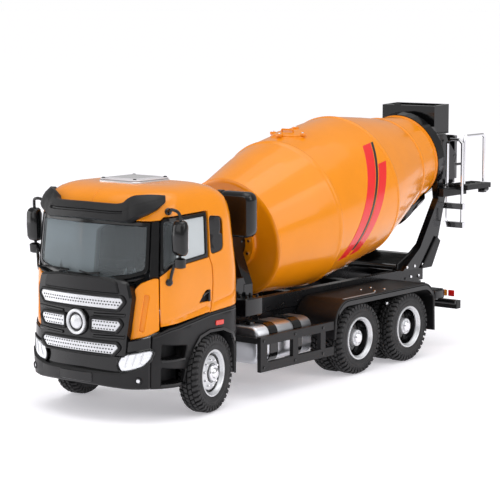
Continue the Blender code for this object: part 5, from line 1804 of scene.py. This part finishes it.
class MIXER_OT_rear_fenders(bpy.types.Operator):
    """Makes the flat-topped mudguards over the rear wheels with their rivets, strip and flaps"""

    bl_idname = "mixer.rear_fenders"
    bl_label = "Rear mudguards"

    def execute(self, context):
        for name, side in SIDES:
            low, high = extent(f"rear_fender_{name}")
            inner, outer = (low.x, high.x) if side > 0 else (high.x, low.x)
            top = high.z
            fender = Form("plastic", "silver", "gloss_black")
            line = [
                Vector((0, low.y + 0.2, low.z + 4.5)),
                Vector((0, low.y + 0.6, top - 4.2)),
                Vector((0, low.y + 4.6, top - 0.6)),
                Vector((0, high.y - 4.4, top - 0.6)),
                Vector((0, high.y - 0.9, top - 3.6)),
                Vector((0, high.y - 0.5, low.z + 0.2)),
            ]
            path = rounded(line, 3.4, 8)
            edge_in, edge_out = inner, outer
            rings = []
            for i, point in enumerate(path):
                run = (path[min(i + 1, len(path) - 1)] - path[max(i - 1, 0)]).normalized()
                out = Vector((0, -run.z, run.y)) * 0.45
                rings.append(
                    [
                        Vector((edge_in, point.y, point.z)) - out,
                        Vector((edge_out - side * 0.2, point.y, point.z)) - out,
                        Vector((edge_out, point.y, point.z)) - out * 0.5,
                        Vector((edge_out, point.y, point.z)) + out * 0.5,
                        Vector((edge_out - side * 0.2, point.y, point.z)) + out,
                        Vector((edge_in, point.y, point.z)) + out,
                    ]
                )
            fender.use("plastic").rings(rings)
            valance = []
            for point in path[8:-7]:
                valance.append(
                    [
                        (edge_out - side * 0.9, point.y, point.z - 1.5), (edge_out, point.y, point.z - 1.5),
                        (edge_out, point.y, point.z), (edge_out - side * 0.9, point.y, point.z)
                    ]
                )
            fender.use("gloss_black").rings(valance)
            middle = (low.y + high.y) / 2
            for y in (middle - 2.6, middle + 2.6):
                for x in (outer - side * 3.0, outer - side * 8.0):
                    fender.use("chrome").lathe(
                        [(0, 0), (0.42, 0), (0.38, 0.16), (0.2, 0.26), (0, 0.28)], (x, y, top - 0.16),
                        (0, 0, 1), 16
                    )
            fender.use("silver").block(
                (outer - side * 1.0, low.y + 5.4, top - 0.2), (outer - side * 1.5, middle - 5.0, top - 0.05),
                0.06, "Y"
            )
            fender.block(
                (outer - side * 0.05, middle - 0.4, top - 4.2), (outer - side * 0.4, middle + 0.5, top - 3.5),
                0.1, "X"
            )
            for i in range(3):
                y = high.y - 0.1
                x = (inner + outer) / 2 + (i - 1) * 3.6
                fender.use("gloss_black").block(
                    (x - 0.3, y - 0.4, low.z + 1.0), (x + 0.3, y, low.z + 8.0), 0.1, "Y"
                )
            fender.done(f"mudguard_{name}", "root", "plastic", f"rear_fender_{name}")
        return {"FINISHED"}


class MIXER_OT_intake(bpy.types.Operator):
    """Makes the air intake behind the cab with its duct, and the studded stand beside it"""

    bl_idname = "mixer.intake"
    bl_label = "Air intake"

    def execute(self, context):
        low, high = extent("air_intake")
        intake = Form("gloss_black", "plastic")
        bottom = high.z - 12.6
        outline = smooth_outline(
            [(low.x + 3.6, bottom), (high.x, bottom), (high.x, high.z), (low.x + 3.6, high.z)], 2.6, 8
        )
        rings = []
        for y, by in (
            (low.y, 1.4), (low.y + 0.25, 0.7), (low.y + 0.8, 0.2), (low.y + 1.6, 0.0), (high.y - 1.4, 0.0),
            (high.y - 0.5, 0.4), (high.y, 1.5)
        ):
            rings.append([(x, y, z) for x, z in inset(outline, by)])
        intake.use("gloss_black").rings(rings)
        for i in range(5):
            z = bottom + 2.4 + i * 2.0
            intake.use("plastic").block(
                (low.x + 6.0, high.y - 0.25, z), (high.x - 2.4, high.y - 0.02, z + 0.9), 0.08, "Y"
            )
        intake.use("gloss_black").block(
            (low.x + 0.4, low.y + 0.8, low.z), (low.x + 3.9, high.y - 0.6, bottom + 6.0), 0.6, "Z", 0.8
        )
        intake.block(
            (low.x + 1.0, low.y + 1.4, bottom + 3.0), (low.x + 6.0, high.y - 1.2, bottom + 7.0), 0.5, "X", 0.8
        )
        intake.use("plastic").block(
            (low.x + 2.2, low.y + 1.0, high.z - 1.4), (low.x + 4.4, high.y - 1.4, high.z), 0.3, "Z", 0.4
        )
        intake.done("air_scoop", "root", "gloss_black", "air_intake")

        stand = Form("gloss_black", "chrome", "silver")
        base = extent("subframe")[1].z
        for side in (1, -1):
            stand.use("gloss_black").block(
                (side * 10.2, 51.6, base - 3.0), (side * 17.0, 59.4, base + 2.2), 0.4, "Z", 0.6
            )
            stand.prism(
                [(51.8, base + 2.0), (59.2, base + 2.0), (56.4, base + 7.6), (53.4, base + 7.6)],
                *sorted((side * 11.0, side * 12.4)), "X", 0.25
            )
            for y in (53.2, 57.8):
                for x in (13.6, 16.0):
                    screw(stand, (side * x, y, base + 2.1), (0, 0, 1), 0.45, 0.9, "gloss_black")
        stand.done("pump_stand", "root", "gloss_black")
        return {"FINISHED"}


# ------------------------------------------------------------------ rear


class MIXER_OT_rear_frame(bpy.types.Operator):
    """Makes the rear stand's gussets and base, the rear step, its lights and the crossbar"""

    bl_idname = "mixer.rear_frame"
    bl_label = "Rear frame"

    def execute(self, context):
        low, high = extent("rear_pedestal")
        frame_top = extent("subframe")[1].z + 0.1
        stand = Form("gloss_black", "plastic", "chrome")
        gusset = [
            (low.y + 0.4, frame_top),
            (low.y + 15.0, frame_top),
            (low.y + 20.2, frame_top + 8.2),
            (low.y + 23.6, frame_top + 16.0),
            (low.y + 18.0, frame_top + 11.5),
            (low.y + 8.0, frame_top + 5.4),
            (low.y + 0.4, frame_top + 2.2),
        ]
        for side in (1, -1):
            stand.use("gloss_black").prism(gusset, *sorted((side * 9.4, side * 10.3)), "X", 0.2)
            rib = [
                (low.y + 9.6, frame_top), (low.y + 15.6, frame_top), (low.y + 20.6, frame_top + 8.0),
                (low.y + 18.4, frame_top + 9.6)
            ]
            stand.use("plastic").prism(rib, *sorted((side * 12.6, side * 13.4)), "X", 0.25)
            for y in (low.y + 2.0, low.y + 6.4, low.y + 11.0):
                screw(stand, (side * 12.6, y, frame_top + 1.2), (side, 0, 0), 0.5, 0.35, "chrome")
        web = []
        for b in np.linspace(74.0, 86.0, 9):
            radius = float(np.interp(b, DRUM_LINE[:, 0], DRUM_LINE[:, 1])) + 1.3
            centre = DRUM_PLACE + DRUM_AXIS * b
            ring = []
            for t in np.linspace(-1.05, 1.05, 15):
                out = Vector((math.sin(t), 0, 0)) - DRUM_UP * math.cos(t)
                ring.append(centre + out * radius)
            for t in np.linspace(1.05, -1.05, 15):
                out = Vector((math.sin(t), 0, 0)) - DRUM_UP * math.cos(t)
                ring.append(centre + out * (radius + 0.7))
            web.append(ring)
        for ring in web:
            for point in ring:
                point.x = max(-10.2, min(10.2, point.x))
        stand.use("gloss_black").rings(web)
        stand.block((-10.2, low.y + 1.0, frame_top), (10.2, low.y + 14.4, frame_top + 1.6), 0.3, "X")
        stand.done("rear_gussets", "root", "gloss_black")

        low, high = extent("rear_bumper")
        step = Form("gloss_black", "red", "amber", "chrome")
        for side in (1, -1):
            inner, outer = side * 12.2, side * 18.6
            step.use("gloss_black").block((inner, 146.6, 15.4), (outer, low.y - 0.2, 18.2), 0.3, "Z", 0.6)
            for i in range(6):
                y = 147.3 + i * 0.9
                step.use("gloss_black").block(
                    (inner + side * 0.7, y - 0.22, 18.1), (outer - side * 0.7, y + 0.22, 18.45), 0.08, "X"
                )
            step.use("gloss_black").rod(
                (side * 14.0, low.y + 0.4, 14.2), (side * 22.4, low.y + 0.4, 14.2), 0.8, 24, 0.2
            )
            for i, finish in enumerate(("red", "amber", "red")):
                x = side * (13.6 + i * 2.7)
                step.use(finish).block(
                    (x - 1.15, high.y - 0.15, 15.6), (x + 1.15, high.y - 0.01, 17.6), 0.1, "Y", 0.3
                )
        step.use("gloss_black").block((-4.6, high.y - 0.15, 13.2), (4.6, high.y - 0.01, 15.4), 0.1, "Y", 0.3)
        step.done("rear_step", "root", "plastic")
        return {"FINISHED"}


class MIXER_OT_hopper(bpy.types.Operator):
    """Makes the charging hopper's rim and tab, the arms of the funnel under it and ribs on the chute, and
    rounds their edges
    """

    bl_idname = "mixer.hopper"
    bl_label = "Hopper and funnel"

    def execute(self, context):
        low, high = extent("hopper")
        trim = Form("gloss_black", "plastic")
        for side in (1, -1):
            trim.use("gloss_black").block(
                (side * (high.x - 0.05), low.y + 1.0, high.z - 6.8),
                (side * (high.x - 0.75), low.y + 1.6, high.z - 0.3), 0.1, "Z"
            )
        trim.use("gloss_black").block(
            (low.x + 4.4, low.y + 0.2, high.z - 0.75), (low.x + 6.6, low.y + 0.9, high.z), 0.1, "Y", 0.2
        )
        for i in range(3):
            x = (i - 1) * 5.2
            trim.use("gloss_black").block(
                (x - 0.3, high.y - 0.5, low.z + 2.0), (x + 0.3, high.y - 0.05, high.z - 0.4), 0.1, "Z"
            )
        trim.done("hopper_trim", "root", "plastic")

        low, high = extent("discharge_funnel")
        arm = Form("gloss_black", "plastic")
        for side in (1, -1):
            line = [
                (low.y + 2.4, high.z - 0.4), (low.y + 5.6, high.z - 0.6), (high.y - 7.4, low.z + 11.6),
                (high.y - 8.6, low.z + 9.4), (low.y + 2.4, high.z - 5.4)
            ]
            arm.use("gloss_black").prism(
                line, *sorted((side * (high.x - 0.05), side * (high.x - 0.9))), "X", 0.2
            )
            for y, z in ((low.y + 4.0, high.z - 2.2), (high.y - 9.4, low.z + 11.4)):
                screw(arm, (side * (high.x - 0.1), y, z), (side, 0, 0), 0.6, 0.1, "gloss_black")
        arm.done("funnel_arms", "root", "plastic")

        low, high = extent("chute")
        spout = Form("gloss_black", "plastic")
        spout.use("gloss_black").block(
            (low.x + 0.02, low.y + 0.3, low.z + 4.2), (low.x + 0.5, high.y - 0.3, low.z + 5.0), 0.1, "Y"
        )
        spout.block(
            (high.x - 0.5, low.y + 0.3, low.z + 4.2), (high.x - 0.02, high.y - 0.3, low.z + 5.0), 0.1, "Y"
        )
        spout.done("chute_ribs", "chute", "plastic")
        for node in ("hopper", "discharge_funnel", "chute", "chute_bracket", "rear_pedestal"):
            soften(node, 0.2)
        return {"FINISHED"}


class MIXER_OT_walkway(bpy.types.Operator):
    """Rounds the ladder's edges and makes the tread plate's studs and the polished guard rail"""

    bl_idname = "mixer.walkway"
    bl_label = "Ladder and platform"

    def execute(self, context):
        low, high = extent("platform")
        tread = Form("plastic", "gloss_black")
        for i in range(7):
            y = low.y + 1.6 + i * (high.y - low.y - 3.2) / 6
            tread.use("plastic").block(
                (low.x + 1.2, y - 0.25, high.z - 0.06), (high.x - 3.2, y + 0.25, high.z + 0.22), 0.08, "X"
            )
        tread.use("gloss_black").rod(
            (high.x - 0.9, high.y - 3.6, low.z + 1.4), (high.x - 0.9, high.y - 0.9, low.z + 1.4), 0.85, 24,
            0.2
        )
        tread.done("tread_studs", "root", "plastic")
        soften("ladder", 0.14)
        return {"FINISHED"}


class MIXER_OT_interior(bpy.types.Operator):
    """Makes the seats, the dashboard and the box between the seats in the cab"""

    bl_idname = "mixer.interior"
    bl_label = "Interior"

    def execute(self, context):
        low, high = extent("interior_tub")
        cabin = Form("shade_and_seat_black", "cabin")
        for x in (-10.0, 10.0):
            for z0, z1, y0, y1, half in (
                (low.z + 1.0, low.z + 6.4, low.y + 12.5, low.y + 22.5, 4.6),
                (low.z + 6.0, high.z - 1.0, low.y + 19.6, low.y + 22.8, 4.3),
                (high.z - 1.2, high.z + 3.2, low.y + 20.6, low.y + 22.6, 2.4)
            ):
                cabin.use("shade_and_seat_black").block((x - half, y0, z0), (x + half, y1, z1), 0.7, "X", 1.0)
        for x in (-13.0, -4.0, 4.2):
            cabin.use("cabin").block(
                (x - 2.0, low.y + 1.9, low.z + 9.5), (x + 2.0, low.y + 5.4, low.z + 11.4), 0.4, "Y", 0.5
            )
        cabin.use("cabin").block(
            (-3.2, low.y + 10.0, low.z + 0.8), (3.2, low.y + 22.0, low.z + 4.6), 0.4, "Y", 0.6
        )
        cabin.done("cab_seats", "root", "cabin")
        return {"FINISHED"}


# ------------------------------------------------------------------ stage


class MIXER_OT_stage(bpy.types.Operator):
    """Makes the pale floor, the soft studio lights and the camera"""

    bl_idname = "mixer.stage"
    bl_label = "Studio"

    def execute(self, context):
        studio = context.scene.mixer_studio
        scene = context.scene
        paper = Finish("studio_paper")
        tooth = paper.noise(4.0, 3.0)
        paper.set(
            Base_Color=paper.mix(tooth, (0.86, 0.85, 0.88), (0.89, 0.88, 0.905)),
            Roughness=0.5,
            Specular_IOR_Level=0.3,
            Emission_Color=(0.97, 0.955, 1.0),
            Emission_Strength=studio.floor_glow,
        )
        half = studio.floor_size / 2
        mesh = bpy.data.meshes.new("floor")
        mesh.from_pydata(
            [(-half, -half, 0), (half, -half, 0), (half, half, 0), (-half, half, 0)], [], [(0, 1, 2, 3)]
        )
        mesh.materials.append(paper.material)
        floor = bpy.data.objects.new("floor", mesh)
        scene.collection.objects.link(floor)

        world = bpy.data.worlds.new("studio_air")
        world.use_nodes = True
        air = world.node_tree.nodes["Background"]
        air.inputs[0].default_value = (*studio.air_colour, 1.0)
        air.inputs[1].default_value = studio.air_strength
        paper_white = world.node_tree.nodes.new("ShaderNodeBackground")
        seen = world.node_tree.nodes.new("ShaderNodeLightPath")
        choice = world.node_tree.nodes.new("ShaderNodeMixShader")
        for source, socket in (
            (seen.outputs["Is Camera Ray"], choice.inputs[0]),
            (air.outputs[0], choice.inputs[1]),
            (paper_white.outputs[0], choice.inputs[2]),
            (choice.outputs[0], world.node_tree.nodes["World Output"].inputs["Surface"]),
        ):
            world.node_tree.links.new(source, socket)
        paper_white.inputs[0].default_value = (1.0, 1.0, 1.0, 1.0)
        scene.world = world

        for name, place, size, strength in (
            ("overhead_softbox", (0.02, -0.06, 0.5), 0.42, studio.overhead),
            ("left_softbox", (0.6, 0.1, 0.32), 0.4, studio.side),
            ("front_softbox", (-0.22, -0.6, 0.3), 0.4, studio.front),
            ("right_softbox", (-0.55, -0.36, 0.14), 0.34, studio.right),
        ):
            data = bpy.data.lights.new(name, "AREA")
            data.shape = "RECTANGLE"
            data.size = size
            data.size_y = size
            data.energy = strength
            lamp = bpy.data.objects.new(name, data)
            lamp.location = place
            lamp.rotation_euler = (
                Vector((0.0, 0.0, 0.03)) - lamp.location
            ).to_track_quat("-Z", "Y").to_euler()
            scene.collection.objects.link(lamp)

        data = bpy.data.lights.new("sky", "SUN")
        data.energy = studio.sky
        data.angle = math.radians(100)
        lamp = bpy.data.objects.new("sky", data)
        lamp.rotation_euler = (math.radians(8), math.radians(14), 0.0)
        scene.collection.objects.link(lamp)

        data = bpy.data.cameras.new("camera")
        data.lens = studio.lens
        data.clip_start = 0.01
        camera = bpy.data.objects.new("camera", data)
        camera.location = studio.camera_place
        camera.rotation_euler = Vector(studio.camera_aim).to_track_quat("-Z", "Y").to_euler()
        scene.collection.objects.link(camera)
        scene.camera = camera
        scene.view_settings.view_transform = "Standard"
        return {"FINISHED"}


class MIXER_PT_panel(bpy.types.Panel):
    """Lists the truck's makers and the values they work from"""

    bl_idname = "MIXER_PT_panel"
    bl_label = "Toy Concrete Mixer"
    bl_space_type = "VIEW_3D"
    bl_region_type = "UI"
    bl_category = "Mixer"

    def draw(self, context):
        for group in (context.scene.mixer_colours, context.scene.mixer_sizes, context.scene.mixer_studio):
            box = self.layout.box()
            for key in group.__annotations__:
                box.prop(group, key)
        for maker in MAKERS:
            self.layout.operator(maker.bl_idname)


MAKERS = (
    MIXER_OT_finishes,
    MIXER_OT_cab,
    MIXER_OT_doors,
    MIXER_OT_grille,
    MIXER_OT_bumper,
    MIXER_OT_lamps,
    MIXER_OT_glazing,
    MIXER_OT_visor,
    MIXER_OT_mirrors,
    MIXER_OT_front_wheels,
    MIXER_OT_rear_wheels,
    MIXER_OT_drum,
    MIXER_OT_frame,
    MIXER_OT_tanks,
    MIXER_OT_rear_fenders,
    MIXER_OT_intake,
    MIXER_OT_rear_frame,
    MIXER_OT_hopper,
    MIXER_OT_walkway,
    MIXER_OT_interior,
    MIXER_OT_stage,
)
CLASSES = (MixerColours, MixerSizes, MixerStudio, *MAKERS, MIXER_PT_panel)


def register():
    for part in CLASSES:
        bpy.utils.register_class(part)
    bpy.types.Scene.mixer_colours = bpy.props.PointerProperty(type=MixerColours)
    bpy.types.Scene.mixer_sizes = bpy.props.PointerProperty(type=MixerSizes)
    bpy.types.Scene.mixer_studio = bpy.props.PointerProperty(type=MixerStudio)


def unregister():
    del bpy.types.Scene.mixer_colours, bpy.types.Scene.mixer_sizes, bpy.types.Scene.mixer_studio
    for part in reversed(CLASSES):
        bpy.utils.unregister_class(part)


def main():
    register()
    for maker in MAKERS:
        group, action = maker.bl_idname.split(".")
        getattr(getattr(bpy.ops, group), action)()


if __name__ == "__main__":
    main()
